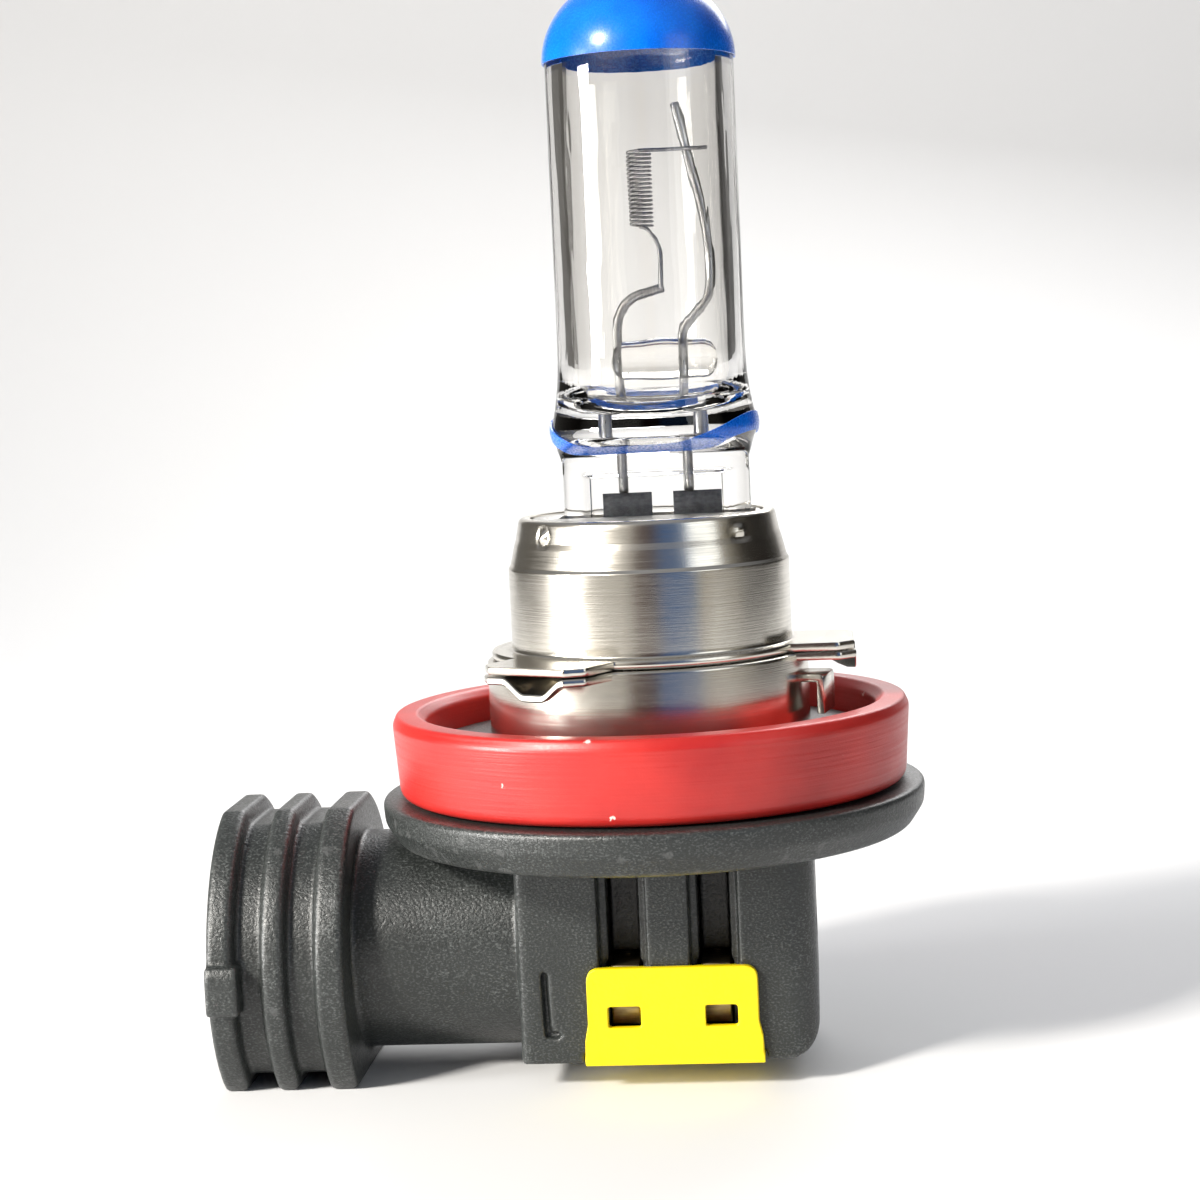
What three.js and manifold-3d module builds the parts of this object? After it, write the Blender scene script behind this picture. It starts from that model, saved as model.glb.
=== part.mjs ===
// Halogen headlight bulb: a glass burner held in a steel cap and collar, on a moulded base whose
// plug socket stands out at a right angle. Millimetres. +Z runs up the bulb's axis, z = 0 is the
// base's flat underside, the socket opens towards -X and the terminal windows face -Y.
import * as THREE from 'three';
import { mergeVertices } from 'three/addons/utils/BufferGeometryUtils.js';
import Module from 'manifold-3d';

const wasm = await Module();
wasm.setup();

// ---------------------------------------------------------------- fineness and clearances
const ringSides = 48;          // facets round the collar, cap, seal and flange
const glassSides = 32;         // facets round the burner
const arcSteps = 5;            // steps in a small corner arc
const slip = 0.1;              // gap between pieces that sit against each other
const filmGap = 0.03;          // gap under a coating
const wireBend = 1.2;          // wires start to turn this far from a corner
const cutPast = 1.0;           // how far a cutting body runs past the face that it opens

// ---------------------------------------------------------------- base
const blockLeft = -7.8;        // terminal block, from the socket side ...
const blockRight = 9.4;        // ... to its rounded far end
const blockHalfDepth = 7.5;
const blockHeight = 12.3;      // underside to flange
const blockEndRadius = 1.9;
const blockEdgeRadius = 0.4;
const flangeThickness = 2.6;
const flangeBrim = 0.8;        // flange's edge beyond the seal
const hubHeight = 3.1;
const hubWall = 3.6;           // plastic outside the collar
const wellWall = 0.95;         // plastic between the collar's seat and the open well under the cap
const wellSunk = 1.6;          // well's floor below the flange's top

const neckRadius = 6.5;
const neckHeight = 6.0;        // neck axis above the underside
const shroudReach = 25.6;      // bulb axis to the socket's mouth
const shroudRadius = 9.1;
const shroudHeight = 5.1;      // socket axis above the underside
const shroudRise = 9.9;        // half height of the socket's upper half, which is taller than round
const topFlatCut = 0.5;        // depth of the flat along the socket's top
const bottomFlatCut = 2.4;     // depth of the flat along its underside
const ribWidths = [1.5, 1.3, 1.7];
const grooveWidths = [1.7, 1.8];
const grooveDepth = 0.9;
const socketWall = 2.0;        // shroud wall, measured at a rib
const socketStep = 6.8;        // mouth to the step where the socket narrows
const socketDepth = 13.1;      // mouth to the socket's floor
const neckWall = 0.7;          // thinnest plastic between the neck's outside and the socket's bore
const latchSize = [1.9, 0.5, 2.9];   // along the socket, proud of it, and tall
const endNotchSize = [0.5, 3.6, 4.6, 7.0];   // depth, half width, foot and top

// ---------------------------------------------------------------- terminals and their windows
const slotCentres = [-1.67, 3.57];
const slotWidth = 2.8;
const slotStep = 0.5;          // the slot narrows by this much on each side
const slotStepDepth = 1.1;
const slotDepth = 3.2;
const slotBackWall = 0.5;      // plastic between a slot and the pin's bore behind it
const slotFloor = 1.6;         // underside to the slot's foot
const bladeWidth = 2.8;
const bladeThickness = 0.8;
const bladeSpacing = 5.2;
const bladeInset = 2.6;        // blade tips sit this far inside the mouth
const bladeChamfer = 0.6;
const tabWidth = 1.7;
const tabThickness = 0.6;
const tabGap = 0.2;            // gap between a tab and the cover's rib in front of it
const tabLift = 0.4;           // slot's foot to the tab's lower end

const coverCentre = 1.1;
const coverWidth = 10.3;
const coverNarrowing = 0.25;   // the upper part is let in by this much on each side
const coverHeight = 5.65;
const coverStepHeight = 1.5;
const coverThickness = 0.5;
const coverWrap = 5.0;         // how far it runs back under the base
const coverCornerRadius = 0.8;
const coverRib = 0.7;          // depth of the ribs that plug the slots
const windowSize = [1.85, 1.2];
const windowShifts = [0.0, 0.3];   // each window's middle from its slot's
const windowHeight = 2.8;      // underside to the window's middle

// ---------------------------------------------------------------- seal, collar and cap
const sealHeight = 4.9;
const sealGap = 0.2;           // hub to the seal's inside
const sealWidth = 1.7;         // at its foot
const sealFlare = 0.3;         // how much wider it is at its top
const sheet = 0.45;            // steel thickness
const collarMargin = 0.9;      // collar's outside beyond the cap's
const collarRise = 4.8;        // hub top to the top of the collar's plate
const collarSunk = 2.1;        // how deep it is moulded into the hub
const plateBrim = 0.05;        // plate's edge beyond the collar
const lugLength = 2.75;        // plate's edge to a lug's end
const lugWidth = 7.0;
const lugChamfer = 0.9;
const lugAngles = [0, 120, 240];
const stopDrop = 0.8;          // bent stop, below the plate ...
const stopHeight = 2.3;
const stopReach = 1.4;         // ... and out from the collar
const stopHalfWidth = 1.5;
const stopTurn = -12;          // degrees from the first lug
const capOffset = 0.3;         // the cap is set off the collar's axis ...
const capHeight = 8.2;         // plate to top
const capMouthGap = 0.7;       // narrowest gap between the burner and the cap's mouth
const capInset = 0.25;         // cap's foot inside the collar's plate
const capRim = 0.65;           // width of the rim round the mouth
const capTaper = 0.3;          // rim to crease
const creaseStep = 0.3;        // crease to shoulder
const shoulderStep = 0.15;     // shoulder to the cap's side
const creaseDrop = 1.6;        // cap's top down to the crease
const shoulderDrop = 2.8;      // cap's top down to the shoulder
const clipDepth = 4.4;         // spring holder under the cap's top
const jawHalfWidth = 4.2;
const jawLift = 0.6;

// ---------------------------------------------------------------- burner
const burnerOffset = 1.0;      // ... and the burner off the cap's
const glassRadius = 5.5;
const glassWall = 1.0;
const bulgeProud = 0.6;
const pinchThickness = 3.4;
const pinchSunk = 5.4;         // pinch foot below the cap's top
const pinchRise = 2.9;         // cap top to where the pinch opens out
const bulgeRise = 5.1;         // cap top to the widest part
const tubeRise = 26.2;         // cap top to the foot of the dome
const domeHeight = 5.0;
const tipRadius = 3.75;        // where the dome ends and the sealed tip begins
const tipStep = 0.5;
const tipHeight = 3.24;
const cavityLift = 0.3;        // widest part of the glass to the hollow's floor
const coatThickness = 0.1;
const tipCoatLap = 0.5;        // how far the blue tip reaches down the tube
const neckCoatBelow = 1.6;     // blue neck, below the widest part ...
const neckCoatAbove = 0.4;     // ... and above it

const leadRadius = 0.29;
const leadHole = 0.1;
const leadXs = [-0.95, 2.9];
const foilSize = [2.9, 0.12, 5.0];
const foilXs = [-0.75, 3.4];
const foilTopRise = 1.2;       // cap top to the foils' upper edge
const pinRadius = 0.4;
const longLeadBow = 1.85;      // how far the long lead bows out
const shortLeadSpan = 2.9;     // how far the short lead crosses towards the long one
const bridgeOverhangs = [0.45, 2.0];   // bead beyond the short and the long lead
const bridgeRadius = 1.4;
const bridgeFlatness = 0.75;
const bridgeRise = 8.7;        // cap top to the bead's middle
const filamentX = 0.77;
const filamentRise = 18.8;     // cap top to the coil's middle
const filamentLength = 4.35;
const filamentRadius = 0.65;
const filamentTurns = 17;
const filamentWire = 0.08;
const tailRadius = 0.13;
const tailPast = 1.87;         // long lead to the far end of the upper tail

// ---------------------------------------------------------------- radii worked out from the sizes
const bulgeRadius = glassRadius + bulgeProud;
const capMouthRadius = burnerOffset - capOffset + glassRadius + capMouthGap;
const capTopRadius = capMouthRadius + capRim;
const capCreaseRadius = capTopRadius + capTaper;
const capShoulderRadius = capCreaseRadius + creaseStep;
const capRadius = capShoulderRadius + shoulderStep;
const collarRadius = capOffset + capRadius + collarMargin;
const plateRadius = collarRadius + plateBrim;
const lugReach = plateRadius + lugLength;
const wellRadius = collarRadius - sheet - slip - wellWall;
const hubRadius = collarRadius + hubWall;
const sealInnerRadius = hubRadius + sealGap;
const sealBottomRadius = sealInnerRadius + sealWidth;
const sealTopRadius = sealBottomRadius + sealFlare;
const flangeRadius = sealTopRadius + flangeBrim;
const socketInnerRadius = neckRadius - Math.abs(neckHeight - shroudHeight) - neckWall;

// ---------------------------------------------------------------- heights worked out from the sizes
const flangeTop = blockHeight + flangeThickness;
const hubTop = flangeTop + hubHeight;
const wellBottom = flangeTop - wellSunk;
const collarTop = hubTop + collarRise;
const capFoot = collarTop + slip;
const capTop = capFoot + capHeight;
const pinchFoot = capTop - pinchSunk;
const foilTop = capTop + foilTopRise;
const foilFoot = foilTop - foilSize[2];
const shoulderHeight = capTop - shoulderDrop;
const creaseHeight = capTop - creaseDrop;
const bulgeMiddle = capTop + bulgeRise;
const cavityFoot = bulgeMiddle + cavityLift;
const domeFoot = capTop + tubeRise;
const tipFoot = domeFoot + domeHeight * Math.sin(Math.acos(tipRadius / glassRadius)) + tipStep;
const tipTop = tipFoot + tipHeight;
const bladeHeight = shroudHeight;
const tabFoot = slotFloor + tabLift;
const coverFront = -blockHalfDepth - coverThickness - slip / 2;
const coverBack = coverFront + coverWrap;

// ---------------------------------------------------------------- solids
/** Triangles of a geometry as a closed solid with its faces pointing out. */
function solid(geometry) {
  geometry.deleteAttribute('normal');
  geometry.deleteAttribute('uv');
  const merged = mergeVertices(geometry);
  const corners = merged.index.array;
  const triangles = [];
  for (let i = 0; i < corners.length; i += 3) {
    const [a, b, c] = corners.slice(i, i + 3);
    if (a !== b && b !== c && c !== a) triangles.push(a, b, c);
  }
  const vertProperties = new Float32Array(merged.attributes.position.array);
  const mesh = new wasm.Mesh({ numProp: 3, vertProperties, triVerts: new Uint32Array(triangles) });
  return new wasm.Manifold(mesh);
}

/** The geometry of a solid. */
function geometryOf(body) {
  const mesh = body.getMesh();
  const geometry = new THREE.BufferGeometry();
  geometry.setAttribute('position', new THREE.BufferAttribute(new Float32Array(mesh.vertProperties), 3));
  geometry.setIndex(new THREE.BufferAttribute(new Uint32Array(mesh.triVerts), 1));
  geometry.computeVertexNormals();
  return geometry;
}

const join = (bodies) => bodies.reduce((whole, body) => whole.add(body));
const cut = (body, tools) => tools.reduce((rest, tool) => rest.subtract(tool), body);

/** A block between two corners. */
function block(low, high) {
  const size = high.map((value, axis) => value - low[axis]);
  const middle = high.map((value, axis) => (value + low[axis]) / 2);
  return solid(new THREE.BoxGeometry(...size).translate(...middle));
}

/** A body turned about a vertical axis at x = shift, from [radius, height] points that run anticlockwise. */
function turned(points, sides, shift = 0) {
  const profile = points.map(([radius, height]) => new THREE.Vector2(radius, height));
  const closesOnAxis = profile[0].x === 0 && profile.at(-1).x === 0;
  if (!closesOnAxis) profile.push(profile[0].clone());
  return solid(new THREE.LatheGeometry(profile, sides).rotateX(Math.PI / 2).translate(shift, 0, 0));
}

/** A vertical prism over a shape in X and Y. */
function prismZ(shape, low, high) {
  const options = { depth: high - low, bevelEnabled: false, curveSegments: arcSteps };
  return solid(new THREE.ExtrudeGeometry(shape, options).translate(0, 0, low));
}

/** A prism along X over a shape drawn in Y and Z. */
function prismX(shape, low, high, curveSegments = arcSteps) {
  const options = { depth: high - low, bevelEnabled: false, curveSegments };
  const toAxes = new THREE.Matrix4().makeBasis(
    new THREE.Vector3(0, 1, 0), new THREE.Vector3(0, 0, 1), new THREE.Vector3(1, 0, 0));
  return solid(new THREE.ExtrudeGeometry(shape, options).applyMatrix4(toAxes).translate(low, 0, 0));
}

/** A prism along Y over a shape drawn in X and Z. */
function prismY(shape, low, high) {
  const options = { depth: high - low, bevelEnabled: false, curveSegments: arcSteps };
  return solid(new THREE.ExtrudeGeometry(shape, options).rotateX(Math.PI / 2).translate(0, high, 0));
}

/** A rod along X, Y or Z. */
function rod(radius, axis, low, high, at, sides = 16) {
  const geometry = new THREE.CylinderGeometry(radius, radius, high - low, sides);
  if (axis === 'x') geometry.rotateZ(-Math.PI / 2).translate((low + high) / 2, at[0], at[1]);
  if (axis === 'z') geometry.rotateX(Math.PI / 2).translate(at[0], at[1], (low + high) / 2);
  return solid(geometry);
}

/** A rectangle with its own radius at each corner, from the lower left one anticlockwise. */
function roundedRectangle(left, bottom, right, top, radii) {
  const [lowLeft, lowRight, topRight, topLeft] = radii;
  const shape = new THREE.Shape();
  shape.moveTo(left + lowLeft, bottom);
  shape.lineTo(right - lowRight, bottom);
  if (lowRight > 0) shape.absarc(right - lowRight, bottom + lowRight, lowRight, -Math.PI / 2, 0);
  shape.lineTo(right, top - topRight);
  if (topRight > 0) shape.absarc(right - topRight, top - topRight, topRight, 0, Math.PI / 2);
  shape.lineTo(left + topLeft, top);
  if (topLeft > 0) shape.absarc(left + topLeft, top - topLeft, topLeft, Math.PI / 2, Math.PI);
  shape.lineTo(left, bottom + lowLeft);
  if (lowLeft > 0) shape.absarc(left + lowLeft, bottom + lowLeft, lowLeft, Math.PI, 1.5 * Math.PI);
  return shape;
}

/** A round wire through points, with every bend rounded. */
function wire(points, radius, sides = 8, steps = 36) {
  const corners = points.map((point) => new THREE.Vector3(...point));
  const path = new THREE.CurvePath();
  const towards = (from, to) => from.clone().lerp(to, Math.min(0.45, wireBend / from.distanceTo(to)));
  let start = corners[0];
  for (let i = 1; i < corners.length - 1; i += 1) {
    const entry = towards(corners[i], corners[i - 1]);
    const exit = towards(corners[i], corners[i + 1]);
    path.add(new THREE.LineCurve3(start, entry));
    path.add(new THREE.QuadraticBezierCurve3(entry, corners[i], exit));
    start = exit;
  }
  path.add(new THREE.LineCurve3(start, corners.at(-1)));
  return sweep(path, radius, sides, steps);
}

/** A tube with closed ends along a curve. */
function sweep(path, radius, sides, steps) {
  const section = new THREE.Shape();
  for (let i = 0; i < sides; i += 1) {
    const angle = (i / sides) * 2 * Math.PI;
    const [x, y] = [radius * Math.cos(angle), radius * Math.sin(angle)];
    if (i === 0) section.moveTo(x, y);
    else section.lineTo(x, y);
  }
  return solid(new THREE.ExtrudeGeometry(section, { steps, extrudePath: path, bevelEnabled: false }));
}

// ---------------------------------------------------------------- base housing
/** Outline of the plug socket's outside, let in all round by an inset. */
function shroudOutline(inset) {
  const radius = shroudRadius - inset;
  const rise = shroudRise - inset;
  const topAngle = Math.asin((rise - topFlatCut) / rise);
  const bottomAngle = Math.asin((radius - bottomFlatCut) / radius);
  const shape = new THREE.Shape();
  shape.absarc(0, shroudHeight, radius, -bottomAngle, 0);
  shape.absellipse(0, shroudHeight, radius, rise, 0, topAngle);
  shape.absellipse(0, shroudHeight, radius, rise, Math.PI - topAngle, Math.PI);
  shape.absarc(0, shroudHeight, radius, Math.PI, Math.PI + bottomAngle);
  return shape;
}

/** Strip that carries current from the socket to one slot, grown all round by a clearance. */
function terminal(index, grow = 0) {
  const x = slotCentres[index];
  const y = (index === 0 ? -0.5 : 0.5) * bladeSpacing;
  const half = bladeWidth / 2 + grow;
  const tip = -shroudReach + bladeInset;
  const far = x + tabWidth / 2 + grow;
  const near = x - tabWidth / 2 - grow;
  const front = -blockHalfDepth + coverRib + tabGap - grow;
  const outline = new THREE.Shape();
  outline.moveTo(tip, y - half + bladeChamfer);
  outline.lineTo(tip + 2 * bladeChamfer, y - half);
  outline.lineTo(near, y - half);
  outline.lineTo(near, front);
  outline.lineTo(far, front);
  outline.lineTo(far, y + half);
  outline.lineTo(tip + 2 * bladeChamfer, y + half);
  outline.lineTo(tip, y + half - bladeChamfer);
  const low = bladeHeight - bladeThickness / 2 - grow;
  const strip = prismZ(outline, low, bladeHeight + bladeThickness / 2 + grow);
  const tab = block([near, front, tabFoot - grow], [far, front + tabThickness + 2 * grow, bladeHeight]);
  return strip.add(tab);
}

/** Slot in the block's front that gives the welding tongs room above a terminal's tab. */
function slot(x) {
  const front = -blockHalfDepth;
  const half = slotWidth / 2;
  const narrow = half - slotStep;
  const outer = block([x - half, front - cutPast, slotFloor], [x + half, front + slotStepDepth, blockHeight]);
  const inner = block([x - narrow, front, slotFloor], [x + narrow, front + slotDepth, blockHeight]);
  return outer.add(inner);
}

const pinY = -blockHalfDepth + slotDepth + slotBackWall + slip + pinRadius;

function baseHousing() {
  const plan = roundedRectangle(blockLeft, -blockHalfDepth, blockRight, blockHalfDepth,
    [blockEdgeRadius, blockEndRadius, blockEndRadius, blockEdgeRadius]);
  const side = roundedRectangle(blockLeft, 0, blockRight, blockHeight + slip,
    [blockEdgeRadius, blockEndRadius, 0, 0]);
  const terminalBlock = prismZ(plan, 0, blockHeight + slip)
    .intersect(prismY(side, -blockHalfDepth, blockHalfDepth));
  const flange = turned([
    [0, blockHeight], [flangeRadius - 1.5, blockHeight], [flangeRadius - 0.8, blockHeight + 0.35],
    [flangeRadius - 0.2, blockHeight + 1.3], [flangeRadius, flangeTop - 0.3],
    [flangeRadius - 0.3, flangeTop], [hubRadius, flangeTop], [hubRadius, hubTop - 0.3],
    [hubRadius - 0.3, hubTop], [0, hubTop],
  ], ringSides);
  const shroudRoot = -shroudReach + [...ribWidths, ...grooveWidths].reduce((sum, width) => sum + width);
  const neck = rod(neckRadius, 'x', shroudRoot - slip, blockLeft + slip, [0, neckHeight], 40);
  const shroud = [prismX(shroudOutline(grooveDepth), -shroudReach, shroudRoot, 12)];
  let ribStart = -shroudReach;
  ribWidths.forEach((width, i) => {
    shroud.push(prismX(shroudOutline(0), ribStart, ribStart + width, 12));
    ribStart += width + (grooveWidths[i] ?? 0);
  });
  const [latchLength, latchProud, latchTall] = latchSize;
  const latch = block(
    [-shroudReach, -shroudRadius - latchProud, shroudHeight - latchTall / 2],
    [-shroudReach + latchLength, -shroudRadius + socketWall / 2, shroudHeight + latchTall / 2]);

  const body = join([terminalBlock, flange, neck, ...shroud, latch]);
  const well = rod(wellRadius, 'z', wellBottom, hubTop + cutPast, [0, 0], ringSides);
  const seatInner = collarRadius - sheet - slip;
  const seatOuter = collarRadius + slip;
  const seatFoot = hubTop - collarSunk - slip;
  const collarSeat = turned([
    [seatInner, seatFoot], [seatOuter, seatFoot], [seatOuter, hubTop + cutPast], [seatInner, hubTop + cutPast],
  ], ringSides);
  const mouth = prismX(shroudOutline(socketWall), -shroudReach - cutPast, -shroudReach + socketStep, 12);
  const bore = rod(socketInnerRadius, 'x', -shroudReach, -shroudReach + socketDepth, [0, shroudHeight], 32);
  const pinBores = slotCentres.map((x) => (
    rod(pinRadius + slip, 'z', bladeHeight, wellBottom + cutPast, [x, pinY], 12)));
  const [notchDepth, notchHalf, notchFoot, notchTop] = endNotchSize;
  const endNotch = block([blockRight - notchDepth, -notchHalf, notchFoot],
    [blockRight + cutPast, notchHalf, notchTop]);
  const wrapSeat = block(
    [coverCentre - coverWidth / 2 - slip, -blockHalfDepth - cutPast, -cutPast],
    [coverCentre + coverWidth / 2 + slip, coverBack + slip, coverThickness + slip]);
  return cut(body, [
    well, collarSeat, mouth, bore, endNotch, wrapSeat, ...pinBores, ...slotCentres.map(slot),
    terminal(0, slip), terminal(1, slip),
  ]);
}

// ---------------------------------------------------------------- cover over the terminals
function windowCover() {
  const front = coverFront;
  const back = -blockHalfDepth - slip / 2;
  const half = coverWidth / 2;
  const upper = half - coverNarrowing;
  const plate = prismY(roundedRectangle(coverCentre - upper, 0, coverCentre + upper, coverHeight,
    [0, 0, coverCornerRadius, coverCornerRadius]), front, back);
  const lower = prismY(roundedRectangle(coverCentre - half, 0, coverCentre + half, coverStepHeight,
    [0, 0, 0, 0]), front, back);
  const wrap = block([coverCentre - half, front, 0], [coverCentre + half, coverBack, coverThickness]);
  const ribs = slotCentres.map((x) => block(
    [x - slotWidth / 2 + slip, back - slip / 2, slotFloor + slip],
    [x + slotWidth / 2 - slip, back + coverRib, coverHeight - slip]));
  const windows = slotCentres.map((slotCentre, i) => {
    const x = slotCentre + windowShifts[i];
    const [width, height] = windowSize;
    return block(
      [x - width / 2, front - cutPast, windowHeight - height / 2],
      [x + width / 2, back + coverRib + cutPast, windowHeight + height / 2]);
  });
  return cut(join([plate, lower, wrap, ...ribs]), windows);
}

// ---------------------------------------------------------------- seal
function sealRing() {
  const inner = sealInnerRadius;
  const foot = flangeTop + slip;
  const top = foot + sealHeight;
  return turned([
    [inner, foot], [sealBottomRadius - 0.8, foot], [sealBottomRadius - 0.25, foot + 0.3],
    [sealBottomRadius, foot + 0.8], [sealTopRadius, top - 0.5], [sealTopRadius - 0.2, top - 0.12],
    [sealTopRadius - 0.5, top], [inner + 0.3, top], [inner, top - 0.3],
  ], ringSides);
}

// ---------------------------------------------------------------- steel collar and cap
/** Three lugs with chamfered corners, as one flat star between two heights. */
function lugPlates(low, high) {
  return lugAngles.map((degrees) => {
    const half = lugWidth / 2;
    const outline = new THREE.Shape();
    outline.moveTo(collarRadius - sheet, -half);
    outline.lineTo(lugReach - lugChamfer, -half);
    outline.lineTo(lugReach, -half + lugChamfer);
    outline.lineTo(lugReach, half - lugChamfer);
    outline.lineTo(lugReach - lugChamfer, half);
    outline.lineTo(collarRadius - sheet, half);
    return prismZ(outline, low, high).rotate([0, 0, degrees]);
  });
}

function collarRing() {
  const inner = collarRadius - sheet;
  const foot = hubTop - collarSunk;
  const plate = collarTop - sheet;
  const ring = turned([
    [inner, foot], [collarRadius, foot], [collarRadius, plate], [plateRadius, plate],
    [plateRadius, collarTop], [inner, collarTop],
  ], ringSides);
  const stopTop = plate - stopDrop;
  const out = collarRadius + stopReach;
  const shelf = block([inner, -stopHalfWidth, stopTop - sheet], [out, stopHalfWidth, stopTop]);
  const drop = block([out - sheet, -stopHalfWidth, stopTop - stopHeight], [out, stopHalfWidth, stopTop]);
  const stop = shelf.add(drop).rotate([0, 0, lugAngles[0] + stopTurn]);
  const bore = rod(inner, 'z', foot, collarTop, [0, 0], ringSides);
  return join([ring, ...lugPlates(plate, collarTop)]).add(stop).subtract(bore);
}

function capShell() {
  const plateTop = capFoot + sheet;
  const outside = [
    [capRadius + 0.35, plateTop], [capRadius, plateTop + 0.35], [capRadius, shoulderHeight - 0.25],
    [capShoulderRadius, shoulderHeight], [capCreaseRadius, creaseHeight],
    [capCreaseRadius - 0.05, creaseHeight + 0.3],
    [capTopRadius, capTop - 0.45], [capTopRadius - 0.2, capTop - 0.12], [capTopRadius - 0.5, capTop],
  ];
  const inside = [
    [capMouthRadius, capTop], [capMouthRadius, capTop - sheet],
    [capTopRadius - sheet, capTop - sheet - 0.2], [capCreaseRadius - sheet, creaseHeight],
    [capRadius - sheet, shoulderHeight - 0.4], [capRadius - sheet, capFoot],
  ];
  const shell = turned([[plateRadius - capInset, capFoot], [plateRadius - capInset, plateTop], ...outside, ...inside],
    ringSides, capOffset);
  const bore = rod(capRadius - sheet, 'z', capFoot - cutPast, plateTop + cutPast, [capOffset, 0], ringSides);
  return join([shell, ...lugPlates(capFoot, plateTop).map((lug) => lug.subtract(bore))]);
}

function burnerClip() {
  const outer = capCreaseRadius - sheet - slip;
  const inner = outer - sheet;
  const top = capTop - sheet - 2 * slip;
  const foot = capTop - clipDepth;
  const spread = Math.min(outer, capTopRadius - sheet - slip);
  const skirt = turned([[inner, foot], [outer, foot], [outer, creaseHeight - 0.2],
    [spread, top], [spread - sheet, top], [inner, creaseHeight - 0.2]], ringSides, capOffset);
  const disc = rod(spread - slip, 'z', top - sheet, top, [capOffset, 0], ringSides);
  const boss = rod(capMouthRadius - slip, 'z', top - sheet, capTop - slip, [capOffset, 0], ringSides);
  const halfWidth = glassRadius + 2 * slip;
  const halfDepth = pinchThickness / 2 + slip;
  const opening = block([burnerOffset - halfWidth, -halfDepth, foot - cutPast],
    [burnerOffset + halfWidth, halfDepth, capTop]);
  const jaws = [-1, 1].map((side) => {
    const [front, back] = [side * halfDepth, side * (halfDepth + sheet)].sort((a, b) => a - b);
    return block([burnerOffset - jawHalfWidth, front, foot + jawLift], [burnerOffset + jawHalfWidth, back, top]);
  });
  return join([skirt, disc, boss, ...jaws]).subtract(opening);
}

// ---------------------------------------------------------------- glass burner
/** Points up the outside of the glass from the pinch to the tip, let out by an offset. */
function glassOutline(offset) {
  const points = [
    [glassRadius, capTop + pinchRise + 0.3], [glassRadius + bulgeProud / 2, bulgeMiddle - 1.0],
    [bulgeRadius, bulgeMiddle], [glassRadius + bulgeProud / 2 - 0.05, bulgeMiddle + 1.4],
    [glassRadius, bulgeMiddle + 4.0], [glassRadius, domeFoot],
  ];
  const domeEnd = Math.acos(tipRadius / glassRadius);
  for (let i = 1; i <= 6; i += 1) {
    const angle = (i / 6) * domeEnd;
    points.push([glassRadius * Math.cos(angle), domeFoot + domeHeight * Math.sin(angle)]);
  }
  for (let i = 0; i < 4; i += 1) {
    const angle = (i / 4) * (Math.PI / 2);
    points.push([(tipRadius - 0.1) * Math.cos(angle), tipFoot + tipHeight * Math.sin(angle)]);
  }
  return points.map(([radius, height]) => {
    const rise = Math.max(0, height - domeFoot) / (tipTop - domeFoot);
    return [radius + offset, height + offset * rise];
  });
}

/** Outer form of the burner, let out by an offset: round above, flattened into the pinch below. */
function burnerForm(offset) {
  const round = turned([
    [0, pinchFoot], [glassRadius + offset, pinchFoot], ...glassOutline(offset), [0, tipTop + offset],
  ], glassSides, burnerOffset);
  const half = pinchThickness / 2 + offset;
  const side = new THREE.Shape();
  const right = [
    [half, pinchFoot - cutPast], [half, capTop + pinchRise - 0.4], [half + 0.6, capTop + pinchRise + 0.4],
    [glassRadius - 0.5 + offset, bulgeMiddle - 0.6], [bulgeRadius + 1 + offset, bulgeMiddle + 1],
    [bulgeRadius + 1 + offset, tipTop + cutPast],
  ];
  const left = right.map(([y, z]) => [-y, z]).reverse();
  [...right, ...left].forEach(([y, z], i) => (i === 0 ? side.moveTo(y, z) : side.lineTo(y, z)));
  return round.intersect(prismX(side, burnerOffset - 2 * bulgeRadius, burnerOffset + 2 * bulgeRadius));
}

function glassEnvelope() {
  const inner = glassRadius - glassWall;
  const hollow = [[0, cavityFoot], [inner - 0.6, cavityFoot + 0.2], [inner, cavityFoot + 1.2],
    [inner, domeFoot]];
  for (let i = 1; i < 6; i += 1) {
    const angle = (i / 6) * (Math.PI / 2);
    hollow.push([inner * Math.cos(angle), domeFoot + (domeHeight - glassWall) * Math.sin(angle)]);
  }
  hollow.push([0, domeFoot + domeHeight - glassWall]);
  const cavity = turned(hollow, glassSides, burnerOffset);
  const [width, thickness] = foilSize;
  const leadHoles = leadXs.map((x) => (
    rod(leadRadius + leadHole, 'z', foilTop - slip, cavityFoot + cutPast, [x, 0], 12)));
  const foilSlots = foilXs.map((x) => block([x - width / 2 - slip, -thickness / 2 - slip, foilFoot - slip],
    [x + width / 2 + slip, thickness / 2 + slip, foilTop + slip]));
  const pinHoles = foilXs.map((x) => (
    rod(pinRadius + slip, 'z', pinchFoot - cutPast, foilFoot, [x, 0], 12)));
  return cut(burnerForm(0), [cavity, ...leadHoles, ...foilSlots, ...pinHoles]);
}

/** Skin of colour on the outside of the glass between two heights. */
function coating(low, high) {
  const reach = 2 * bulgeRadius;
  const band = block([burnerOffset - reach, -reach, low], [burnerOffset + reach, reach, high]);
  return burnerForm(filmGap + coatThickness).subtract(burnerForm(filmGap)).intersect(band);
}

const coilTop = capTop + filamentRise + filamentLength / 2;
const coilFoot = coilTop - filamentLength;
const tailY = -leadRadius - tailRadius - filmGap;
const leadFoot = foilTop + slip / 2;
const bridgeTop = capTop + bridgeRise + bridgeRadius;

function longLead() {
  const x = leadXs[1];
  return wire([[x, 0, leadFoot], [x, 0, bridgeTop + wireBend + 0.1], [x + longLeadBow, 0, bridgeTop + 2.9],
    [x + 1.5, 0, coilFoot + 1.5], [x + 0.75, 0, coilTop], [x + 0.4, 0, coilTop + 2.6]], leadRadius, 8, 32);
}

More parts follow.
